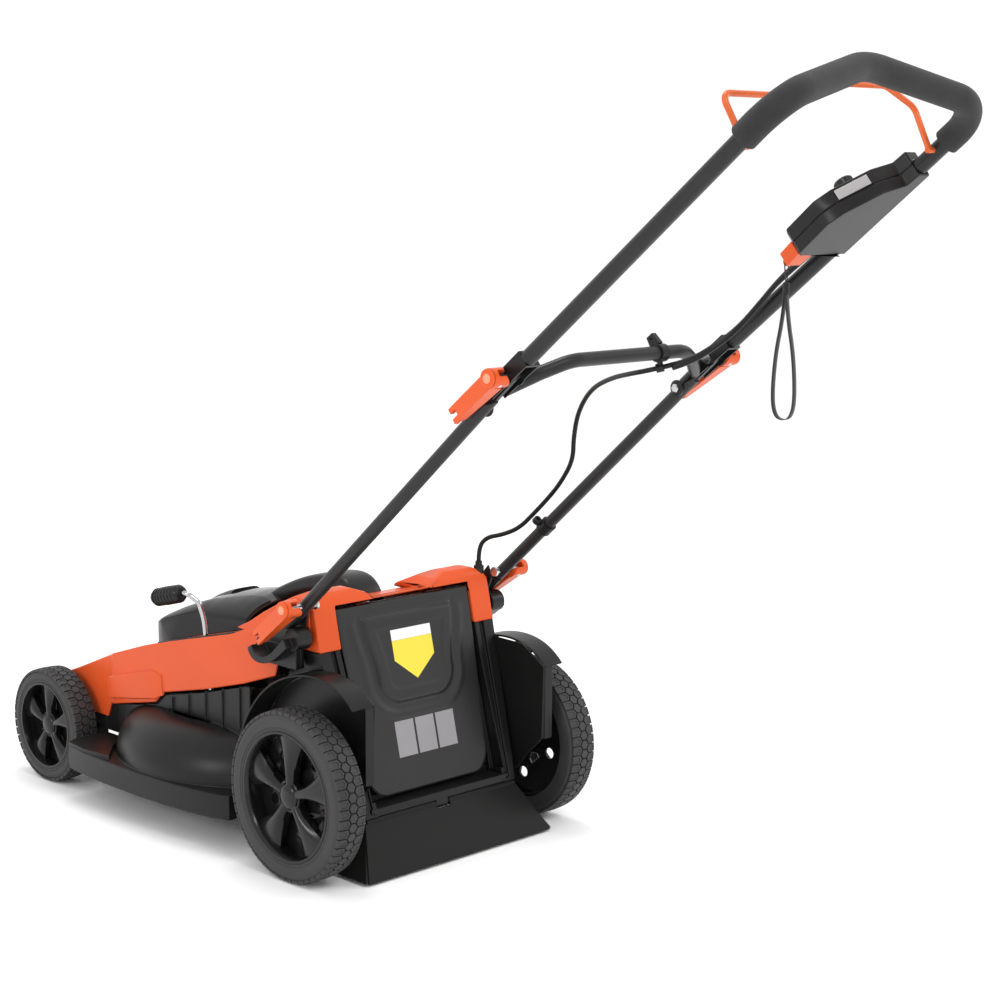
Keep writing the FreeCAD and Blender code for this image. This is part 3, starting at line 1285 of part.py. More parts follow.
def main():
    build()
    os.makedirs("parts", exist_ok=True)
    whole = FreeCAD.BoundBox()
    for name, shape in nodes.items():
        placed = shape.copy()
        placed.translate(V(0, -MIDDLE_Y, 0))
        whole.add(placed.BoundBox)
        if not placed.isValid() or not placed.Solids:
            print("CHECK", name, "valid", placed.isValid(), "solids", len(placed.Solids))
        placed.exportStep("parts/%s.step" % name)
    print(len(nodes), "nodes, box", whole)


main()
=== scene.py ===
import json
import math
import bmesh
import bpy
from mathutils import Vector, Matrix


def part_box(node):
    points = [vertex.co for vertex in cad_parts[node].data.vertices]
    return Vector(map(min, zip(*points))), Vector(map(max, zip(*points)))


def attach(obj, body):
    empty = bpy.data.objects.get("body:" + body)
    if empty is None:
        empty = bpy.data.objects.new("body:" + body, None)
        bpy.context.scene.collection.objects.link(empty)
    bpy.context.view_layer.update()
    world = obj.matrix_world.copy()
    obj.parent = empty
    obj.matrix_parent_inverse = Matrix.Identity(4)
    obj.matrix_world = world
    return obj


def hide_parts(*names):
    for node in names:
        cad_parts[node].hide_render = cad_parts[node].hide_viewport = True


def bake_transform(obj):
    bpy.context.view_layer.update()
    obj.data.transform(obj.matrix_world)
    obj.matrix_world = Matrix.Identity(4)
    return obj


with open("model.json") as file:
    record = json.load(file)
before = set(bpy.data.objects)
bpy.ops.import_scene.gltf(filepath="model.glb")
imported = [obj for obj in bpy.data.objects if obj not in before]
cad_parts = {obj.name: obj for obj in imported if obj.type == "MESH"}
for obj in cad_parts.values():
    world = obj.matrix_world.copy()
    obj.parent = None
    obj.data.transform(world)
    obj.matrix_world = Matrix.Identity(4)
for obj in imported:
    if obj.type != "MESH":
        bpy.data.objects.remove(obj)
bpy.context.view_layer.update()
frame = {"nodes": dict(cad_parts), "record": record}

NODES = frame["nodes"]
JOINTS = {joint["name"]: joint for joint in frame["record"]["behaviour"]["joints"]}
SCENE = bpy.context.scene


# ---------------------------------------------------------------- places and directions
def joint_place(name):
    return Vector(JOINTS[name]["pos_m"])


UPPER_SLOPE = math.radians(38.66)       # rise of the upper handle
ALONG = Vector((0, math.cos(UPPER_SLOPE), math.sin(UPPER_SLOPE)))
SQUARE = Vector((0, -math.sin(UPPER_SLOPE), math.cos(UPPER_SLOPE)))
UPPER_FOLD = joint_place("upper_handle_fold")
MM = 0.001
MIDDLE_Y = 30.04                # part.py's shift from its drawing frame, in millimetres


def place(x, y, z):
    """A point given as part.py draws it, in millimetres with the rear axle at y = 0."""
    return Vector((x * MM, (y - MIDDLE_Y) * MM, z * MM))


def on_handle(x, along, square):
    """A point in millimetres from the upper fold, along the upper handle and square to it."""
    return UPPER_FOLD + (Vector((x, 0, 0)) + ALONG * along + SQUARE * square) * MM


def circle_angles(count):
    return [2 * math.pi * k / count for k in range(count)]


# ---------------------------------------------------------------- camera, floor and light
CAMERA_PLACE = place(2046.6, 2256.5, 1010.8)
CAMERA_AZIMUTH = 135.47                 # degrees
CAMERA_PITCH = 8.94
CAMERA_ROLL = -0.18
CAMERA_LENS = 74.37                     # millimetres, on a sensor 36 wide
FLOOR_HALF = 30.0


def make_camera():
    azimuth = math.radians(CAMERA_AZIMUTH)
    pitch = math.radians(CAMERA_PITCH)
    roll = math.radians(CAMERA_ROLL)
    level = Vector((-math.sin(azimuth), math.cos(azimuth), 0))
    look = level * math.cos(pitch) + Vector((0, 0, -math.sin(pitch)))
    right = Vector((math.cos(azimuth), math.sin(azimuth), 0))
    down = look.cross(right)
    side = right * math.cos(roll) + down * math.sin(roll)
    up = -(down * math.cos(roll) - right * math.sin(roll))
    data = bpy.data.cameras.new("camera")
    data.sensor_width = 36
    data.lens = CAMERA_LENS
    data.clip_end = 50
    camera = bpy.data.objects.new("camera", data)
    SCENE.collection.objects.link(camera)
    turn = Matrix((side, up, -look)).transposed().to_4x4()
    camera.matrix_world = Matrix.Translation(CAMERA_PLACE) @ turn
    SCENE.camera = camera


def make_stage():
    """A pale floor that fades into a white surround, and large soft lights."""
    world = bpy.data.worlds.new("surround")
    SCENE.world = world
    world.use_nodes = True
    back = world.node_tree.nodes["Background"]
    back.inputs["Color"].default_value = (1.0, 1.0, 1.0, 1)
    back.inputs["Strength"].default_value = 1.04
    mesh = bpy.data.meshes.new("floor")
    half = FLOOR_HALF
    corners = [(-half, -half, 0), (half, -half, 0), (half, half, 0), (-half, half, 0)]
    mesh.from_pydata(corners, [], [(0, 1, 2, 3)])
    floor = bpy.data.objects.new("floor", mesh)
    SCENE.collection.objects.link(floor)
    floor.data.materials.append(plain_material("floor_paint", (0.985, 0.985, 0.985), 0.9))
    add_light("key", (0.6, 3.4, 3.6), (0, 0, 0.45), 1.2, 46)
    add_light("left_strip", (3.8, -0.2, 1.9), (0, -0.2, 0.3), 1.0, 26)
    add_light("top", (-0.4, -0.8, 4.0), (0, -0.2, 0.3), 1.2, 30)
    add_light("right_back", (-3.4, 1.6, 2.0), (0, 0, 0.4), 1.0, 20)


def add_light(name, spot, target, size, power):
    data = bpy.data.lights.new(name, "AREA")
    data.shape = "DISK"
    data.size = size
    data.energy = power
    light = bpy.data.objects.new(name, data)
    SCENE.collection.objects.link(light)
    light.location = spot
    light.rotation_euler = (Vector(target) - Vector(spot)).to_track_quat("-Z", "Y").to_euler()


# ---------------------------------------------------------------- materials
def plain_material(name, color, roughness):
    material = bpy.data.materials.new(name)
    material.use_nodes = True
    shader = material.node_tree.nodes["Principled BSDF"]
    shader.inputs["Base Color"].default_value = (*color, 1)
    shader.inputs["Roughness"].default_value = roughness
    return material


def surface(name, color, roughness, metallic=0.0, tint=0.12, tint_scale=9.0, grain=900.0,
            bump=0.08, rough_spread=0.08, coat=0.0, kind="noise", specular=0.5, sheen=0.0):
    """A procedural finish: slow colour and gloss variation, and fine relief from noise or cells."""
    material = plain_material(name, color, roughness)
    tree = material.node_tree
    nodes, links = tree.nodes, tree.links
    shader = nodes["Principled BSDF"]
    shader.inputs["Metallic"].default_value = metallic
    shader.inputs["Specular IOR Level"].default_value = specular
    shader.inputs["Coat Weight"].default_value = coat
    shader.inputs["Coat Roughness"].default_value = 0.12
    if sheen:
        shader.inputs["Sheen Weight"].default_value = sheen
    where = nodes.new("ShaderNodeTexCoord")
    slow = nodes.new("ShaderNodeTexNoise")
    slow.inputs["Scale"].default_value = tint_scale
    slow.inputs["Detail"].default_value = 5
    links.new(where.outputs["Object"], slow.inputs["Vector"])
    ramp = nodes.new("ShaderNodeValToRGB")
    dark = [c * (1 - tint) for c in color]
    light = [min(1, c * (1 + tint)) for c in color]
    ramp.color_ramp.elements[0].position = 0.3
    ramp.color_ramp.elements[1].position = 0.7
    ramp.color_ramp.elements[0].color = (*dark, 1)
    ramp.color_ramp.elements[1].color = (*light, 1)
    links.new(slow.outputs["Fac"], ramp.inputs["Fac"])
    links.new(ramp.outputs["Color"], shader.inputs["Base Color"])
    gloss = nodes.new("ShaderNodeMapRange")
    gloss.inputs["To Min"].default_value = max(0.02, roughness - rough_spread)
    gloss.inputs["To Max"].default_value = min(1.0, roughness + rough_spread)
    links.new(slow.outputs["Fac"], gloss.inputs["Value"])
    links.new(gloss.outputs["Result"], shader.inputs["Roughness"])
    if kind == "cells":
        fine = nodes.new("ShaderNodeTexVoronoi")
        height = fine.outputs["Distance"]
    else:
        fine = nodes.new("ShaderNodeTexNoise")
        fine.inputs["Detail"].default_value = 3
        height = fine.outputs["Fac"]
    fine.inputs["Scale"].default_value = grain
    links.new(where.outputs["Object"], fine.inputs["Vector"])
    relief = nodes.new("ShaderNodeBump")
    relief.inputs["Strength"].default_value = bump
    relief.inputs["Distance"].default_value = 0.0006
    links.new(height, relief.inputs["Height"])
    links.new(relief.outputs["Normal"], shader.inputs["Normal"])
    return material


def woven(name, color, threads):
    """Flat webbing: threads as waves in one direction."""
    material = surface(name, color, 0.8, grain=threads, bump=0.2, sheen=0.3)
    tree = material.node_tree
    wave = tree.nodes.new("ShaderNodeTexWave")
    wave.inputs["Scale"].default_value = threads / 2
    wave.bands_direction = "Z"
    relief = tree.nodes.new("ShaderNodeBump")
    relief.inputs["Strength"].default_value = 0.6
    relief.inputs["Distance"].default_value = 0.0004
    where = tree.nodes["Texture Coordinate"]
    tree.links.new(where.outputs["Object"], wave.inputs["Vector"])
    tree.links.new(wave.outputs["Fac"], relief.inputs["Height"])
    tree.links.new(tree.nodes["Bump"].outputs["Normal"], relief.inputs["Normal"])
    tree.links.new(relief.outputs["Normal"], tree.nodes["Principled BSDF"].inputs["Normal"])
    return material


def make_materials():
    return {
        "cover_plastic": surface("orange_cover", (0.66, 0.085, 0.018), 0.30, tint=0.05, grain=1500,
                                 bump=0.03, specular=0.22, rough_spread=0.05),
        "lever_plastic": surface("orange_lever", (0.68, 0.090, 0.016), 0.32, tint=0.05, grain=1300,
                                 bump=0.04, specular=0.24, rough_spread=0.06),
        "bail_paint": surface("orange_bail", (0.66, 0.115, 0.022), 0.26, tint=0.05, grain=700,
                              bump=0.03, specular=0.35),
        "deck_plastic": surface("deck_black", (0.0085, 0.0082, 0.0082), 0.34, tint=0.18, grain=1600,
                                bump=0.10, specular=0.24, rough_spread=0.06),
        "black_plastic": surface("satin_black", (0.0105, 0.0100, 0.0102), 0.33, tint=0.15, grain=1800,
                                 bump=0.08, specular=0.26, rough_spread=0.06),
        "grey_plastic": surface("lid_grey", (0.024, 0.0225, 0.0215), 0.16, tint=0.08, grain=900,
                                bump=0.02, specular=0.42, rough_spread=0.05),
        "rim_plastic": surface("rim_black", (0.0075, 0.0072, 0.0075), 0.20, tint=0.12, grain=700,
                               bump=0.02, specular=0.34, rough_spread=0.05),
        "tyre_rubber": surface("tyre_rubber", (0.027, 0.026, 0.027), 0.55, tint=0.22, tint_scale=16,
                               grain=1100, bump=0.22, specular=0.42, rough_spread=0.1),
        "flap_rubber": surface("flap_rubber", (0.0075, 0.0078, 0.0073), 0.50, tint=0.15, grain=1500,
                               bump=0.15, specular=0.16),
        "tube_paint": surface("tube_black", (0.0165, 0.0158, 0.0170), 0.36, tint=0.10, grain=1400,
                              bump=0.16, specular=0.30),
        "foam": surface("grip_foam", (0.030, 0.030, 0.030), 0.92, tint=0.15, tint_scale=30, grain=1500,
                        bump=0.5, kind="cells", rough_spread=0.05, sheen=0.12, specular=0.2),
        "plated_steel": surface("plated_steel", (0.62, 0.62, 0.63), 0.28, metallic=1.0, tint=0.08,
                                grain=600, bump=0.06),
        "chrome": surface("lever_chrome", (0.46, 0.46, 0.47), 0.12, metallic=1.0, tint=0.03,
                          grain=300, bump=0.01, rough_spread=0.03),
        "blade_steel": surface("blade_black", (0.045, 0.045, 0.048), 0.42, metallic=0.6, tint=0.2,
                               grain=500, bump=0.12),
        "copper_windings": surface("windings", (0.48, 0.20, 0.075), 0.36, metallic=1.0, tint=0.25,
                                   tint_scale=90, grain=500, bump=0.4),
        "circuit_board": surface("board_green", (0.012, 0.075, 0.032), 0.42, tint=0.3, tint_scale=80,
                                 grain=400, bump=0.2),
        "battery_case": surface("battery_black", (0.03, 0.03, 0.032), 0.45, grain=1500, bump=0.1),
        "lead_sheath": surface("lead_black", (0.009, 0.009, 0.0095), 0.40, tint=0.12, grain=900,
                               bump=0.1, specular=0.2),
        "webbing": woven("webbing_black", (0.010, 0.010, 0.0105), 1400),
        "door_black": surface("door_black", (0.019, 0.018, 0.0178), 0.30, tint=0.12, grain=1800,
                              bump=0.08, specular=0.34, rough_spread=0.05),
        "switch_black": surface("switch_black", (0.012, 0.0115, 0.012), 0.28, tint=0.12, grain=900,
                                bump=0.05, specular=0.32, rough_spread=0.05),
        "silver_panel": surface("silver_panel", (0.50, 0.50, 0.51), 0.30, metallic=0.7, tint=0.05,
                                grain=700, bump=0.04),
        # cap_pale: a lighter orange that paints the round highlight on the cam bosses' end caps (painted
        # highlight)
        "cap_pale": surface("cap_pale", (0.80, 0.30, 0.17), 0.30, tint=0.05, grain=900, bump=0.03,
                            specular=0.3),
        "dial_silver": surface("screw_silver", (0.62, 0.62, 0.63), 0.24, metallic=1.0, tint=0.05,
                               grain=700, bump=0.04),
        "label_white": surface("sticker_white", (0.84, 0.84, 0.83), 0.42, tint=0.03, grain=500, bump=0.02),
        "label_yellow": surface("sticker_yellow", (0.80, 0.66, 0.045), 0.40, tint=0.03, grain=500, bump=0.02),
        "label_grey": surface("plate_grey", (0.27, 0.26, 0.27), 0.38, tint=0.06, grain=500, bump=0.03),
        "sintered_bush": surface("bush_bronze", (0.40, 0.27, 0.12), 0.42, metallic=1.0, tint=0.15,
                                 grain=1500, bump=0.2),
    }


# ---------------------------------------------------------------- making meshes
def add_mesh(name, vertices, faces, material, smooth=True):
    mesh = bpy.data.meshes.new(name)
    mesh.from_pydata([tuple(v) for v in vertices], [], faces)
    mesh.validate()
    build = bmesh.new()
    build.from_mesh(mesh)
    bmesh.ops.remove_doubles(build, verts=build.verts, dist=1e-6)
    bmesh.ops.recalc_face_normals(build, faces=build.faces)
    build.to_mesh(mesh)
    build.free()
    piece = bpy.data.objects.new(name, mesh)
    SCENE.collection.objects.link(piece)
    mesh.materials.append(material)
    for polygon in mesh.polygons:
        polygon.use_smooth = smooth
    return piece


def skin_rings(rings, closed_path=False):
    """Faces between rings of points; each ring is closed, and an open path gets end caps."""
    vertices = [point for ring in rings for point in ring]
    size = len(rings[0])
    faces = []
    count = len(rings)
    for k in range(count if closed_path else count - 1):
        for j in range(size):
            a = k * size + j
            b = k * size + (j + 1) % size
            c = (k + 1) % count * size + (j + 1) % size
            d = (k + 1) % count * size + j
            faces.append((a, b, c, d))
    if not closed_path:
        faces.append(tuple(reversed(range(size))))
        faces.append(tuple(range((count - 1) * size, count * size)))
    return vertices, faces


def round_edges(piece, width):
    bevel = piece.modifiers.new("edges", "BEVEL")
    bevel.width = width
    bevel.segments = 2
    bevel.limit_method = "ANGLE"
    bevel.angle_limit = math.radians(30)
    bevel.use_clamp_overlap = True
    bevel.miter_outer = "MITER_ARC"
    soft = piece.modifiers.new("soft", "WEIGHTED_NORMAL")
    soft.keep_sharp = False


def smooth_by_angle(piece, degrees):
    piece.data.set_sharp_from_angle(angle=math.radians(degrees))


def joined(name, sets, material, smooth=True):
    """One piece from several lists of vertices and faces."""
    vertices = []
    faces = []
    for points, polygons in sets:
        start = len(vertices)
        vertices += points
        faces += [tuple(start + k for k in polygon) for polygon in polygons]
    return add_mesh(name, vertices, faces, material, smooth)


def spline_points(points, spacing=12):
    """Points along the smooth line that a NURBS spline draws from its control points."""
    curve = route_curve("probe", points, 0, spacing)
    graph = bpy.context.evaluated_depsgraph_get()
    mesh = bpy.data.meshes.new_from_object(curve.evaluated_get(graph))
    line = [vertex.co.copy() for vertex in mesh.vertices]
    bpy.data.meshes.remove(mesh)
    bpy.data.objects.remove(curve)
    return line


def path_length(line):
    return sum((b - a).length for a, b in zip(line, line[1:]))


def route_curve(name, points, radius, resolution=12):
    data = bpy.data.curves.new(name, "CURVE")
    data.dimensions = "3D"
    data.resolution_u = resolution
    data.bevel_depth = radius
    data.bevel_resolution = 6
    data.use_fill_caps = radius > 0
    spline = data.splines.new("NURBS")
    spline.points.add(len(points) - 1)
    for k, point in enumerate(points):
        spline.points[k].co = (*point, 1)
    spline.order_u = 3
    spline.use_endpoint_u = True
    curve = bpy.data.objects.new(name, data)
    SCENE.collection.objects.link(curve)
    bpy.context.view_layer.update()
    return curve


def tube_mesh(name, points, radius, material):
    """A round tube along the spline as a mesh."""
    curve = route_curve(name + "_line", points, radius)
    graph = bpy.context.evaluated_depsgraph_get()
    mesh = bpy.data.meshes.new_from_object(curve.evaluated_get(graph))
    bpy.data.objects.remove(curve)
    mesh.name = name
    mesh.materials.clear()
    mesh.materials.append(material)
    for polygon in mesh.polygons:
        polygon.use_smooth = True
    piece = bpy.data.objects.new(name, mesh)
    SCENE.collection.objects.link(piece)
    return piece


def turned_ring(profile, centre, steps):
    """A closed profile of (x, radius) turned about the line through centre along X."""
    rings = []
    for angle in circle_angles(steps):
        rings.append([Vector((x, centre[0] + r * math.cos(angle), centre[1] + r * math.sin(angle)))
                      for x, r in profile])
    return skin_rings(rings, closed_path=True)


# ---------------------------------------------------------------- the lanyard and the leads
KEY_EYE = on_handle(-138, 222, 2)
STRING_RADIUS = 0.00085
FERRULE_TOP = 0.026
FERRULE_LENGTH = 0.016
STRAP_WIDTH = 0.008
STRAP_THICK = 0.0012


def flat_sweep(line, width, thick, across):
    """A flat ribbon along a line; across is the direction of its width."""
    rings = []
    for k, point in enumerate(line):
        before = line[max(0, k - 1)]
        after = line[min(len(line) - 1, k + 1)]
        along = (after - before).normalized()
        side = (across - along * across.dot(along)).normalized()
        out = along.cross(side)
        w, t = width / 2, thick / 2
        corners = [(-w, -t * 0.4), (-w * 0.96, -t), (w * 0.96, -t), (w, -t * 0.4), (w, t * 0.4),
                   (w * 0.96, t), (-w * 0.96, t), (-w, t * 0.4)]
        rings.append([point + side * a + out * b for a, b in corners])
    return skin_rings(rings)


def make_lanyard():
    string_places = [(-0.95, -26), (-4.1, -7), (-4.1, 0), (4.1, 0), (4.1, -7), (0.95, -26)]
    string_route = [KEY_EYE + Vector((x, 0, z)) * MM for x, z in string_places]
    string = route_curve("lanyard_string", string_route, STRING_RADIUS)
    string.data.materials.append(MATERIALS["webbing"])
    top = KEY_EYE + Vector((0, 0, -FERRULE_TOP))
    low = top + Vector((0, 0, -FERRULE_LENGTH))
    profile = [(0.0, 0.0022), (0.0, 0.0036), (-0.0008, 0.0044), (-0.0068, 0.0044), (-0.008, 0.0038),
               (-0.0092, 0.0044), (-0.0152, 0.0044), (-0.016, 0.0036), (-0.016, 0.0022)]
    rings = []
    for z, r in profile:
        rings.append([top + Vector((r * math.cos(a), r * math.sin(a), z)) for a in circle_angles(24)])
    ferrule = joined("lanyard_ferrule", [skin_rings(rings)], MATERIALS["black_plastic"])
    left = [(-1.4, 0), (-4, -30), (-15, -80), (-19, -138), (-13.3, -162)]
    right = [(-y, z) for y, z in reversed(left)]
    strap_route = [low + Vector((0, y, z)) * MM for y, z in left + [(0, -167)] + right]
    line = spline_points(strap_route)
    strap = joined("lanyard_strap", [flat_sweep(line, STRAP_WIDTH, STRAP_THICK, Vector((1, 0, 0)))],
                   MATERIALS["webbing"])
    for piece in (string, ferrule, strap):
        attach(piece, "safety_key")
    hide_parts("lanyard")
    length = path_length(spline_points(string_route))


DECK_LEAD = [(-168, -42, 412), (-168, -42, 434), (-172, -28, 451), (-180, -2, 457), (-186.5, 30, 471.1),
             (-186.5, 63.7, 500.2)]
LOOSE_LEAD = [(-186.5, 70.2, 505.9), (-186.5, 96, 529), (-180, 126, 556), (-168, 160, 592),
              (-152, 176, 630), (-134, 202, 672), (-110, 250, 710), (-84, 312, 731), (-62, 366, 742)]
LEAD_RING = on_handle(-64, 12, -15)
RING_AXIS = Vector((-0.55, 0.80, 0.24)).normalized()
LEAD_RADIUS = 0.0035
STRAND_SHIFT = Vector((0.0062, 0.0, -0.0052))


def make_leads():
    sheath = MATERIALS["lead_sheath"]
    deck_route = [place(*point) for point in DECK_LEAD + LOOSE_LEAD[:1]]
    low = tube_mesh("lead_deck_to_clip", deck_route, LEAD_RADIUS, sheath)
    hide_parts("lead_at_deck")
    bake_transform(low)
    loose_route = [place(*point) for point in LOOSE_LEAD]
    loose_route += [LEAD_RING - RING_AXIS * 0.020, LEAD_RING]
    loose = tube_mesh("lead_between_clips", loose_route, LEAD_RADIUS, sheath)
    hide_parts("lead_at_handle")
    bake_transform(loose)
    high_route = [LEAD_RING, LEAD_RING + RING_AXIS * 0.022, place(-104, 447, 767),
                  place(-140, 455, 784), place(-170, 468, 806), on_handle(-184, 124, 6),
                  on_handle(-185.5, 165, 12), on_handle(-184, 208, 12), on_handle(-184, 255.3, 5)]
    high = tube_mesh("lead_to_switch", high_route, LEAD_RADIUS, sheath)
    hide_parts("lead_at_handle")
    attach(high, "upper_handle")
    second_route = [point + STRAND_SHIFT for point in high_route[2:7]]
    second_route += [on_handle(-176, 208, 6), on_handle(-172, 254.5, 2)]
    second_route.insert(0, high_route[1] + STRAND_SHIFT * 0.9)
    second = tube_mesh("lead_to_switch_second", second_route, LEAD_RADIUS, sheath)
    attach(second, "upper_handle")


# ---------------------------------------------------------------- switch box and joint details
def handle_prism(plan, low, high, shrink):
    """A block over a plan of (across, along) on the handle, with its top edge drawn in."""
    mid_x = sum(x for x, t in plan) / len(plan)
    mid_t = sum(t for x, t in plan) / len(plan)
    rings = []
    for square, inset in ((low, 0), (high - shrink, 0), (high, shrink)):
        ring = []
        for x, t in plan:
            reach = max(1e-6, math.hypot(x - mid_x, t - mid_t))
            keep = 1 - inset / reach
            ring.append(on_handle(mid_x + (x - mid_x) * keep, mid_t + (t - mid_t) * keep, square))
        rings.append(ring)
    return skin_rings(rings)


def ribbed_plan(x, t, radius, count, ribs):
    """A circle with every other point drawn in by the depth of the ribs."""
    plan = []
    for k in range(count):
        r = radius - (ribs if k % 2 else 0.0)
        a = 2 * math.pi * k / count
        plan.append((x + r * math.cos(a), t + r * math.sin(a)))
    return plan


BUTTON_AT = (-168, 338)
SLANT = [(-116, 346), (-156, 388)]          # the box's slanted inboard side


def slant_plate(name, start, end, low, high, out, material):
    """A thin plate on the slanted side, from start to end of its length."""
    (x0, t0), (x1, t1) = SLANT
    long = math.hypot(x1 - x0, t1 - t0)
    nx, nt = (t1 - t0) / long, -(x1 - x0) / long
    rings = []
    for depth in (-0.6, out):
        ring = []
        for part, square in ((start, low), (end, low), (end, high), (start, high)):
            ring.append(on_handle(x0 + (x1 - x0) * part + nx * depth, t0 + (t1 - t0) * part + nt * depth,
                                  square))
        rings.append(ring)
    plate = joined(name, [skin_rings(rings)], material, smooth=False)
    round_edges(plate, 0.0005)
    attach(plate, "upper_handle")


def make_switch_details():
    slant_plate("switch_panel", 0.06, 0.86, 6.5, 20.5, 1.4, MATERIALS["silver_panel"])
    knob = joined("start_knob", [handle_prism(ribbed_plan(*BUTTON_AT, 13.4, 36, 0.9), 31, 46, 1.8)],
                  MATERIALS["switch_black"])
    smooth_by_angle(knob, 25)
    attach(knob, "start_button")


def x_disc(centre, radius, thick, side, count=28):
    """A domed disc facing along X."""
    rings = []
    for depth, r in ((0, radius), (thick * 0.7, radius), (thick, radius * 0.82)):
        rings.append([centre + Vector((side * depth * MM, r * MM * math.cos(a), r * MM * math.sin(a)))
                      for a in circle_angles(count)])
    return skin_rings(rings)


def make_joint_details():
    for level in ("lower", "upper"):
        for side, sign in (("left", 1), ("right", -1)):
            node = "cam_lever_%s_%s" % (level, side)
            low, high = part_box(node)
            pivot = joint_place(node)
            face = Vector((high.x if sign > 0 else low.x, pivot.y, pivot.z))
            boss = joined("cam_boss_%s_%s" % (level, side), [x_disc(face, 12.5, 2.6, sign)],
                          MATERIALS["lever_plastic"])
            # A pale disc on each boss end; its lighter colour is a painted highlight.
            highlight_cap_place = face + Vector((sign * 0.0022, 0, 0))
            cap = joined("cam_highlight_cap_%s_%s" % (level, side), [x_disc(highlight_cap_place, 6.4, 1.2, sign)],
                         MATERIALS["cap_pale"])
            for piece in (boss, cap):
                smooth_by_angle(piece, 40)
                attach(piece, node)
    for side, sign in (("left", 1), ("right", -1)):
        spot = place(sign * 190.2, 343, 712)
        flange = joined("saddle_washer_%s" % side, [x_disc(spot, 11.5, 4.0, -sign)],
                        MATERIALS["black_plastic"])
        head_place = spot - Vector((sign * 0.0036, 0, 0))
        head = joined("saddle_bolt_%s" % side, [x_disc(head_place, 6.6, 4.2, -sign, 6)],
                      MATERIALS["dial_silver"], smooth=False)
        for piece in (flange, head):
            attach(piece, "lower_handle")


# ---------------------------------------------------------------- wheels
WHEELS = {
    "rear": {"rows": 54, "hub": 19.0},
    "front": {"rows": 42, "hub": 17.5},
}
SPOKES = 5
SPOKE_WAIST = 9.0               # half widths, in millimetres on the rear wheel
SPOKE_FLARE = 21.0
REAR_RIM_RADIUS = 0.0971
LUG_RISE = 3.2
LUG_GAP = 0.0009
SHAFT_BORE = 0.0066
CLIP_BORE = 0.0116


def wheel_frame(place_name, side):
    low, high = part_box("%s_tyre_%s" % (place_name, side))
    rim_low, rim_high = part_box("%s_rim_%s" % (place_name, side))
    centre = ((low.y + high.y) / 2, (low.z + high.z) / 2)
    radius = (high.z - low.z) / 2
    rim_radius = (rim_high.z - rim_low.z) / 2
    sign = 1 if side == "left" else -1
    face = high.x if sign > 0 else low.x
    width = high.x - low.x
    return centre, radius, rim_radius, sign, face, width


def lug(outline, radius, centre, x_middle, sign, recess):
    """A tread block: outline is (arc, across) in metres on the tyre's surface."""
    def at(arc, across, r):
        angle = arc / radius
        drop = 0.0016 * (abs(across) / 0.022) ** 3
        return Vector((x_middle + sign * across, centre[0] + (r - drop) * math.cos(angle),
                       centre[1] + (r - drop) * math.sin(angle)))

    def toward(amount):
        mid_u = sum(u for u, v in outline) / len(outline)
        mid_v = sum(v for u, v in outline) / len(outline)
        return [(mid_u + (u - mid_u) * amount, mid_v + (v - mid_v) * amount) for u, v in outline]

    levels = [(outline, radius - LUG_RISE * MM - 0.001), (outline, radius - 0.0006),
              (toward(0.90), radius)]
    if recess:
        levels += [(toward(0.62), radius), (toward(0.54), radius - 0.0011)]
    return skin_rings([[at(u, v, r) for u, v in shape] for shape, r in levels])


def make_tyre(place_name, side):
    centre, radius, rim_radius, sign, face, width = wheel_frame(place_name, side)
    half = width / 2
    middle_x = face - sign * half
    base = radius - LUG_RISE * MM
    bead = rim_radius - 0.0004
    groove = bead + 0.0030
    profile = [(-half, bead), (-half, radius - 0.012), (-half + 0.0015, radius - 0.0075),
               (-half + 0.0045, base - 0.0010), (-half + 0.009, base), (0, base),
               (half - 0.009, base), (half - 0.0045, base - 0.0010), (half - 0.0015, radius - 0.0075),
               (half - 0.0002, radius - 0.012), (half - 0.0006, radius - 0.017),
               (half - 0.0004, groove + 0.0035), (half - 0.0014, groove + 0.0022),
               (half - 0.0014, groove + 0.0012), (half - 0.0004, groove),
               (half - 0.0012, bead + 0.0008), (half - 0.004, bead)]
    sets = [turned_ring([(middle_x + sign * x, r) for x, r in profile], centre, 96)]
    rows = WHEELS[place_name]["rows"]
    pitch = 2 * math.pi * radius / rows
    u = pitch / 2 - LUG_GAP
    edge = half - 0.0016
    shoulder = [(-u, 0.0092), (0, 0.0057), (u, 0.0092), (u, edge), (-u, edge)]
    hexagon = [(0, 0.0076), (-u, 0.0036), (-u, -0.0036), (0, -0.0076), (u, -0.0036), (u, 0.0036)]
    for k in range(rows):
        start = k * pitch
        for flip in (1, -1):
            outline = [(start + a, flip * b) for a, b in shoulder]
            sets.append(lug(outline, radius, centre, middle_x, sign, True))
        outline = [(start + pitch / 2 + a, b) for a, b in hexagon]
        sets.append(lug(outline, radius, centre, middle_x, sign, False))
    tyre = joined("tyre_%s_%s" % (place_name, side), sets, MATERIALS["tyre_rubber"])
    smooth_by_angle(tyre, 35)
    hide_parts("%s_tyre_%s" % (place_name, side))
    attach(tyre, "%s_wheel_%s" % (place_name, side))


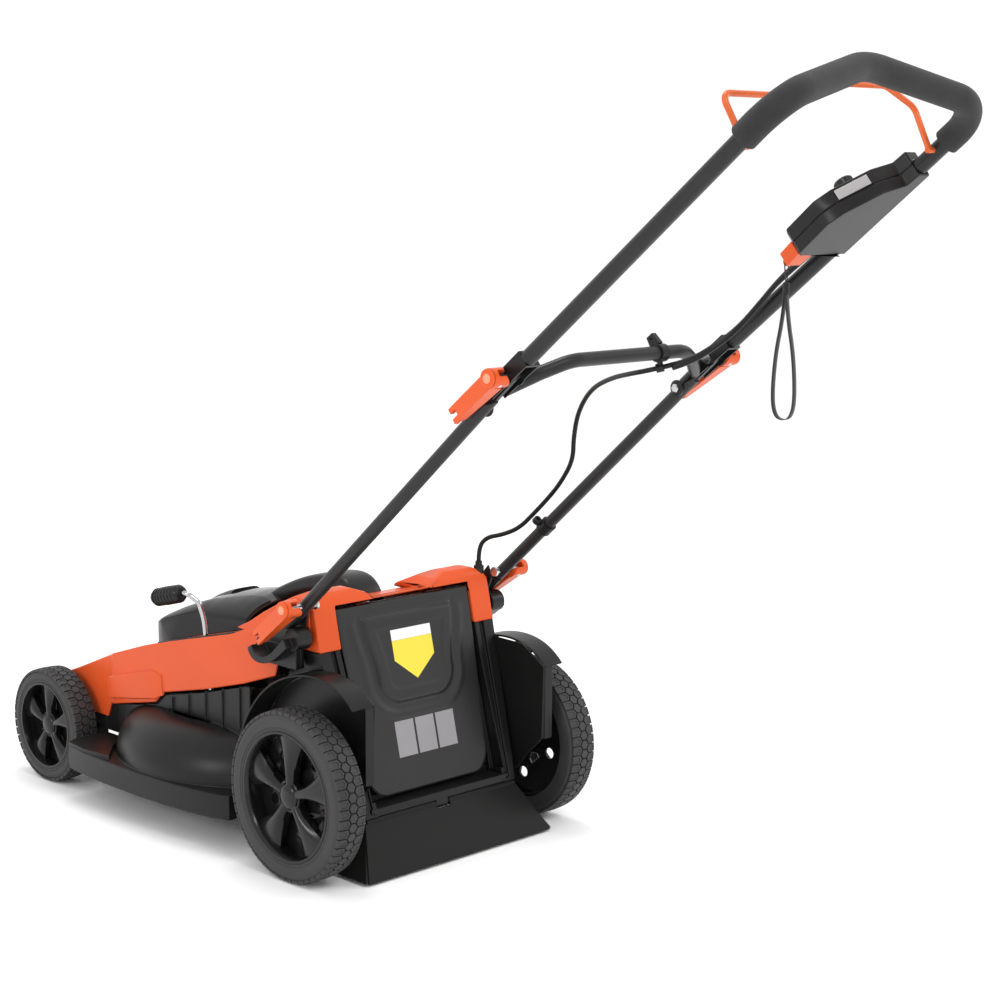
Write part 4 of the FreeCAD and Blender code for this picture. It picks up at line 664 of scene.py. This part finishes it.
def spoke(k, hub, reach, scale, sign, face, centre):
    """One convex petal from the hub out to the rim, wider towards the rim."""
    angle = 2 * math.pi * k / SPOKES + math.pi / 2
    rings = []
    steps = 14
    for j in range(steps + 1):
        t = j / steps
        r = (hub - 4) * MM + t * (reach - (hub - 4) * MM)
        flare = max(0.0, (t - 0.18) / 0.82) ** 1.5 * SPOKE_FLARE
        half = (SPOKE_WAIST + flare) * MM * scale
        crown = (5.5 + 2.0 * math.sin(math.pi * t)) * MM * scale
        front = face - sign * (7.5 - 2.2 * math.sin(math.pi * t) + 1.5 * t) * MM
        ring = []
        for s in range(13):
            a = -1 + 2 * s / 12
            sweep_angle = angle + a * half / r
            x = front - sign * crown * (abs(a) ** 2.4)
            ring.append(Vector((x, centre[0] + r * math.cos(sweep_angle),
                                centre[1] + r * math.sin(sweep_angle))))
        for s in range(12, -1, -1):
            a = (-1 + 2 * s / 12) * 0.86
            sweep_angle = angle + a * half / r
            x = front - sign * (0.019 * scale)
            ring.append(Vector((x, centre[0] + r * math.cos(sweep_angle),
                                centre[1] + r * math.sin(sweep_angle))))
        rings.append(ring)
    return skin_rings(rings)


def back_disc(inner, outer, hole_at, hole_radius, x0, x1, centre):
    """A disc with round holes, closed in between; each hole sits in the middle of its sector."""
    sets = []
    for k in range(SPOKES):
        turn = 2 * math.pi * (k + 0.5) / SPOKES + math.pi / 2
        hole = []
        edge = []
        for a in circle_angles(48):
            direction = (math.cos(a), math.sin(a))
            hole.append((hole_at + hole_radius * direction[0], hole_radius * direction[1]))
            edge.append(sector_exit(hole_at, direction, inner, outer, math.pi / SPOKES))
        rings = []
        for x, outline in ((x0, edge), (x0, hole), (x1, hole), (x1, edge)):
            rings.append([turned(x, u, v, turn, centre) for u, v in outline])
        sets.append(skin_rings(rings, closed_path=True))
    return sets


def turned(x, u, v, turn, centre):
    return Vector((x, centre[0] + u * math.cos(turn) - v * math.sin(turn),
                   centre[1] + u * math.sin(turn) + v * math.cos(turn)))


def sector_exit(start, direction, inner, outer, half_angle):
    """Where a line from (start, 0) leaves the ring sector about the first axis, by halving."""
    near, far = 0.0, 2 * outer
    for _ in range(40):
        t = (near + far) / 2
        u = start + t * direction[0]
        v = t * direction[1]
        r = math.hypot(u, v)
        if inner <= r <= outer and abs(math.atan2(v, u)) <= half_angle:
            near = t
        else:
            far = t
    return start + near * direction[0], near * direction[1]


def make_rim(place_name, side):
    centre, _, rim_radius, sign, face, width = wheel_frame(place_name, side)
    scale = rim_radius / REAR_RIM_RADIUS
    hub = WHEELS[place_name]["hub"]
    depth = width - 0.006
    wall = 0.0075 * scale
    reach = rim_radius - wall + 0.001

    def x(inward):
        return face - sign * inward

    barrel = [(x(0.0012), rim_radius - 0.0002), (x(0.0004), rim_radius - 0.0022),
              (x(0.0008), rim_radius - 0.0046), (x(0.0050), rim_radius - wall),
              (x(0.0110), rim_radius - wall - 0.0012), (x(depth - 0.004), rim_radius - wall),
              (x(depth), rim_radius - wall + 0.001), (x(depth), rim_radius - 0.0002)]
    sets = [turned_ring(barrel, centre, 80)]
    for k in range(SPOKES):
        sets.append(spoke(k, hub, reach, scale, sign, face, centre))
    hub_r = hub * MM
    dome = []
    for k in range(9):
        a = math.pi / 2 * k / 8
        dome.append((x(0.0035 + 0.0065 * (1 - math.cos(a))), hub_r * math.sin(a)))
    bore = [(x(depth - 0.010), SHAFT_BORE), (x(0.0105), SHAFT_BORE), (x(0.0105), CLIP_BORE),
            (x(0.0062), CLIP_BORE), (x(0.0062), 0.0006)]
    hub_rings = [(x(0.0035), 0.0006)] + dome[1:] + [(x(0.016), hub_r * 1.04), (x(depth - 0.010), hub_r * 0.9)]
    hub_rings += bore
    rings = []
    for px, r in hub_rings:
        rings.append([Vector((px, centre[0] + r * math.cos(a), centre[1] + r * math.sin(a)))
                      for a in circle_angles(48)])
    sets.append(skin_rings(rings))
    ring_profile = [(x(0.0105), hub_r * 1.02), (x(0.0092), hub_r * 1.12), (x(0.0105), hub_r * 1.24),
                    (x(0.020), hub_r * 1.20), (x(0.020), hub_r * 0.98)]
    sets.append(turned_ring(ring_profile, centre, 48))
    back = depth - 0.014
    sets += back_disc(hub_r * 0.8, reach, 0.62 * rim_radius, 0.0085 * scale, x(back),
                      x(back + 0.003), centre)
    rim = joined("rim_%s_%s" % (place_name, side), sets, MATERIALS["rim_plastic"])
    smooth_by_angle(rim, 42)
    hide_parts("%s_rim_%s" % (place_name, side))
    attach(rim, "%s_wheel_%s" % (place_name, side))


# ---------------------------------------------------------------- powerhead lid and carry handle
LID_CENTRE_Y = -467.0
LID_RADIUS = 117.0
LID_NOSE_Y = -551.0
LID_LENGTH = 259.0
TONGUE_Y = -486.0
TONGUE_LENGTH = 64.0
TONGUE_HALF = 31
BAND_Y = -532.0
BAND_LENGTH = 238.0
LID_TOP = [(-556, 271), (-540, 281), (-515, 295), (-480, 313), (-440, 328), (-390, 341), (-340, 349),
           (-312, 350), (-291, 344)]
PARTING = [(-640, 246), (-420, 312), (-404, 308), (-250, 316)]
POD_FRONT = [(118, 200), (118, 262), (108, 300), (84, 334), (45, 349), (0, 353)]


def along_line(line, value, reverse=False):
    """Straight interpolation along a list of pairs; reverse looks a height up."""
    pairs = [(b, a) for a, b in line] if reverse else line
    pairs = sorted(pairs)
    value = min(max(value, pairs[0][0]), pairs[-1][0])
    for (x0, y0), (x1, y1) in zip(pairs, pairs[1:]):
        if x0 <= value <= x1:
            return y0 + (y1 - y0) * (value - x0) / max(1e-9, x1 - x0)
    return pairs[-1][1]


def lid_half_width(y):
    if y < LID_CENTRE_Y:
        plan = math.sqrt(max(1.0, LID_RADIUS ** 2 - (LID_CENTRE_Y - y) ** 2))
    else:
        plan = LID_RADIUS - max(0.0, y + 305) ** 2 * 0.05
    height = along_line(PARTING, y)
    return min(plan, along_line(POD_FRONT, height, reverse=True) - 0.5)


def lid_surface(y, across, grow):
    """A point on the lid's dome: across runs from -1 to 1 between its edges."""
    low = along_line(PARTING, y) + 0.6
    high = along_line(LID_TOP, y)
    half = lid_half_width(y) + grow
    fall = (1 - abs(across) ** 2.1) ** 0.72
    return place(half * across, y, low + max(0.0, high - low + grow) * fall)


def make_lid():
    ys = [LID_NOSE_Y + LID_LENGTH * k / 36 for k in range(37)]
    rings = []
    for y in ys:
        top = [lid_surface(y, -1 + 2 * s / 40, 0) for s in range(41)]
        under = [point - Vector((0, 0, 0.0028)) for point in reversed(top)]
        rings.append(top + under)
    lid = joined("lid_dome", [skin_rings(rings)], MATERIALS["grey_plastic"])
    smooth_by_angle(lid, 50)
    for side in (1, -1):
        make_lid_band(side)
    tongue = []
    for k in range(15):
        y = TONGUE_Y + TONGUE_LENGTH * k / 14
        rise = 5.5 * math.sin(math.pi * min(1.0, (k + 0.4) / 6) / 2)
        ring = []
        for s in range(17):
            a = -1 + 2 * s / 16
            point = lid_surface(y, a * TONGUE_HALF / lid_half_width(y), 0)
            ring.append(point + Vector((0, 0, rise * (1 - abs(a) ** 6) * MM)))
        ring += [point - Vector((0, 0, 0.004)) for point in
                 (lid_surface(y, a * TONGUE_HALF / lid_half_width(y), 0) for a in (1, 0, -1))]
        tongue.append(ring)
    pad = joined("lid_tongue", [skin_rings(tongue)], MATERIALS["black_plastic"])
    smooth_by_angle(pad, 50)
    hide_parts("battery_lid")
    for piece in (lid, pad):
        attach(piece, "battery_lid")


def make_lid_band(side):
    """The black moulding along one side of the lid, from its middle panel down to its edge."""
    rings = []
    for k in range(31):
        y = BAND_Y + BAND_LENGTH * k / 30
        inner = 0.64 - 0.16 * smoothstep(0.35, 1.0, k / 30)
        inner += 0.30 * (1 - smoothstep(0, 0.22, k / 30))
        lift = 3.4 * smoothstep(0, 0.15, k / 30)
        top = []
        for j in range(11):
            across = inner + (0.985 - inner) * j / 10
            grow = lift * math.sin(math.pi * (0.12 + 0.80 * j / 10)) ** 0.5
            top.append(lid_surface(y, side * across, grow))
        under = [point - Vector((0, 0, 0.0042)) for point in reversed(top)]
        rings.append(top + under)
    band = joined("lid_band_%s" % ("left" if side > 0 else "right"), [skin_rings(rings)],
                  MATERIALS["black_plastic"])
    smooth_by_angle(band, 50)
    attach(band, "battery_lid")


def make_carry_handle():
    """A broad moulded strap with rounded edges, from the lid over to the cover's rear."""
    centre = [(-417, 299, 12), (-396, 301, 15), (-372, 304, 18), (-345, 320, 24), (-315, 340, 26),
              (-275, 359, 26), (-235, 373, 27), (-195, 382, 28), (-160, 388, 29), (-136, 384, 27),
              (-120, 366, 22), (-112, 345, 16)]
    path = spline_points([place(0, y, z) for y, z, thick in centre], 6)
    total = path_length(path)
    reach = 0.0
    rings = []
    for k, point in enumerate(path):
        if k:
            reach += (point - path[k - 1]).length
        spot = reach / total * (len(centre) - 1)
        index = min(int(spot), len(centre) - 2)
        part = spot - index
        thick = centre[index][2] * (1 - part) + centre[index + 1][2] * part
        along = (path[min(k + 1, len(path) - 1)] - path[max(0, k - 1)]).normalized()
        up = Vector((1, 0, 0)).cross(along)
        half = 33 - 3.0 * math.sin(math.pi * reach / total)
        ring = []
        for s in range(28):
            a = 2 * math.pi * s / 28
            c, d = math.cos(a), math.sin(a)
            across = half * math.copysign(abs(c) ** 0.42, c)
            rise = thick / 2 * math.copysign(abs(d) ** 0.55, d)
            ring.append(point + Vector((across * MM, 0, 0)) + up * rise * MM)
        rings.append(ring)
    strap = joined("carry_strap", [skin_rings(rings)], MATERIALS["black_plastic"])
    smooth_by_angle(strap, 60)
    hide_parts("carry_handle")
    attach(strap, "deck")


FLANK = [(-597, 97), (-530, 97), (-526, 168), (-543, 194), (-597, 186)]     # (y, z) outline
FLANK_MIDDLE = Vector((0, -560, 142))


def make_front_flanks():
    """The moulded wall under the cover beside each front wheel."""
    for side, sign in (("left", 1), ("right", -1)):
        rings = []
        for x, inset in ((158, 0), (169, 0), (171, 2.0)):
            ring = []
            for y, z in FLANK:
                toward = (FLANK_MIDDLE - Vector((0, y, z))).normalized() * inset
                ring.append(place(sign * x, y + toward.y, z + toward.z))
            rings.append(ring)
        wall = joined("front_flank_%s" % side, [skin_rings(rings)], MATERIALS["deck_plastic"],
                      smooth=False)
        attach(wall, "deck")


# ---------------------------------------------------------------- rear door
DOOR_TOP = (-35.0, 383.0)
DOOR_BOTTOM = (32.0, 99.0)
SKIN_TOP = 4.6                  # the skin's ends, measured down the door
SKIN_BOTTOM = 290.4
SKIN_HALF = 133.4
SKIN_TAPER = 13.0
SKIN_CORNER = 36.0
SKIN_LIFT = 0.15
PANEL_RISE = 1.0
SHIELD_RISE = 5.6
SHIELD_DISH = 1.0
LABEL_THICK = 0.5


def on_door(x, down, out):
    run = DOOR_BOTTOM[0] - DOOR_TOP[0]
    drop = DOOR_TOP[1] - DOOR_BOTTOM[1]
    length = math.hypot(run, drop)
    return place(x, DOOR_TOP[0] + run / length * down + drop / length * out,
                 DOOR_TOP[1] - drop / length * down + run / length * out)


def smoothstep(edge0, edge1, value):
    t = min(1.0, max(0.0, (value - edge0) / (edge1 - edge0)))
    return t * t * (3 - 2 * t)


def shield_distance(x, down):
    """How far a point is outside the raised shield's outline, in millimetres."""
    half = 84 - 14 * smoothstep(30, 120, down)
    bottom = 154.0
    corner = 34.0
    side = abs(x) - half
    top = 30 - down
    low = down - bottom
    if side > -corner and low > -corner:
        return math.hypot(side + corner, low + corner) - corner
    return max(side, top, low)


def door_height(x, down):
    """Relief of the door's skin over its panel."""
    distance = shield_distance(x, down)
    height = PANEL_RISE + SHIELD_RISE * (1 - smoothstep(0.4, 7.5, distance))
    height -= 0.6 * math.exp(-((distance - 11) / 4.0) ** 2)
    height += 1.5 * math.exp(-((distance - 24) / 6.0) ** 2) * smoothstep(20, 40, down)
    inner = max(0.0, -distance)
    height -= SHIELD_DISH * smoothstep(12, 20, inner)
    return height


def make_door_skin():
    columns = 120
    rows = 150
    grid = []
    for j in range(rows + 1):
        down = SKIN_TOP + (SKIN_BOTTOM - SKIN_TOP) * j / rows
        half = SKIN_HALF - SKIN_TAPER * smoothstep(4, 290, down)
        low = down - (SKIN_BOTTOM - SKIN_CORNER)
        if low > 0:
            half -= SKIN_CORNER - math.sqrt(max(0.0, SKIN_CORNER ** 2 - min(low, SKIN_CORNER) ** 2))
        row = []
        for k in range(columns + 1):
            x = half * (-1 + 2 * k / columns)
            rim = min(half - abs(x), down - SKIN_TOP, SKIN_BOTTOM - down)
            fade = smoothstep(-0.2, 3.0, rim)
            row.append(on_door(x, down, SKIN_LIFT + door_height(x, down) * fade))
        grid.append(row)
    vertices = [point for row in grid for point in row]
    faces = []
    wide = columns + 1
    for j in range(rows):
        for k in range(columns):
            a = j * wide + k
            faces.append((a, a + 1, a + wide + 1, a + wide))
    skin = add_mesh("door_skin", vertices, faces, MATERIALS["door_black"])
    solid = skin.modifiers.new("thickness", "SOLIDIFY")
    solid.thickness = 0.0006
    solid.offset = 0.0
    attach(skin, "rear_door")


def door_sheet(name, outline, out, material):
    """A thin flat label on the door."""
    front = [on_door(x, down, out + LABEL_THICK) for x, down in outline]
    back = [on_door(x, down, out) for x, down in outline]
    piece = joined(name, [skin_rings([back, front])], material, smooth=False)
    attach(piece, "rear_door")


def make_door_labels():
    face = PANEL_RISE + SHIELD_RISE - SHIELD_DISH + SKIN_LIFT
    band = [(-40, 50), (40, 50), (40, 66), (-40, 66)]
    door_sheet("label_band", band, face, MATERIALS["label_white"])
    shield = [(-40, 66.2), (40, 66.2), (40, 96), (0, 128), (-40, 96)]
    door_sheet("label_shield", shield, face, MATERIALS["label_yellow"])
    for k in range(3):
        x = -63 + 41 * k
        plate = [(x, 186), (x + 37, 186), (x + 37, 240), (x, 240)]
        door_sheet("label_panel_%d" % (k + 1), plate, 1.2, MATERIALS["label_grey"])


# ---------------------------------------------------------------- finish of the CAD parts
REPLACED = ("battery_lid", "carry_handle", "lanyard", "lead_at_deck", "lead_at_handle")
EDGE_WIDTHS = {                 # millimetres
    "top_cover": 2.2, "deck_shell": 1.6, "fenders": 1.4, "rear_frame": 1.2, "powerhead_base": 1.5,
    "switch_housing_upper": 2.2, "switch_housing_lower": 2.2, "safety_key": 1.2, "start_button": 1.0,
    "handle_brackets": 1.0, "rear_door": 1.0, "lever_grip": 1.5, "discharge_chute": 1.0,
}
FINE_EDGE = 0.7


def smooth_cad_node(node, piece):
    """Rounds a part's edges and smooths its shading; its mesh itself stays as it came."""
    weld = piece.modifiers.new("weld", "WELD")
    weld.merge_threshold = 0.000002
    bevel = piece.modifiers.new("edges", "BEVEL")
    bevel.width = EDGE_WIDTHS.get(node, FINE_EDGE) * MM
    bevel.segments = 3 if node in EDGE_WIDTHS else 2
    bevel.limit_method = "ANGLE"
    bevel.angle_limit = math.radians(34)
    bevel.use_clamp_overlap = node not in EDGE_WIDTHS
    soft = piece.modifiers.new("soft", "WEIGHTED_NORMAL")
    soft.keep_sharp = False


def finish_cad_nodes():
    slots = {part["node"]: part["material_slot"] for part in frame["record"]["subparts"]}
    for node, piece in NODES.items():
        piece.data.materials.clear()
        piece.data.materials.append(MATERIALS[slots[node]])
        if node not in REPLACED and "_tyre_" not in node and "_rim_" not in node:
            smooth_cad_node(node, piece)


SCENE.view_settings.view_transform = "Standard"
make_camera()
make_stage()
MATERIALS = make_materials()
make_lanyard()
make_leads()
for PLACE in ("rear", "front"):
    for SIDE in ("left", "right"):
        make_tyre(PLACE, SIDE)
        make_rim(PLACE, SIDE)
make_lid()
make_carry_handle()
make_front_flanks()
make_door_skin()
make_door_labels()
make_switch_details()
make_joint_details()
finish_cad_nodes()
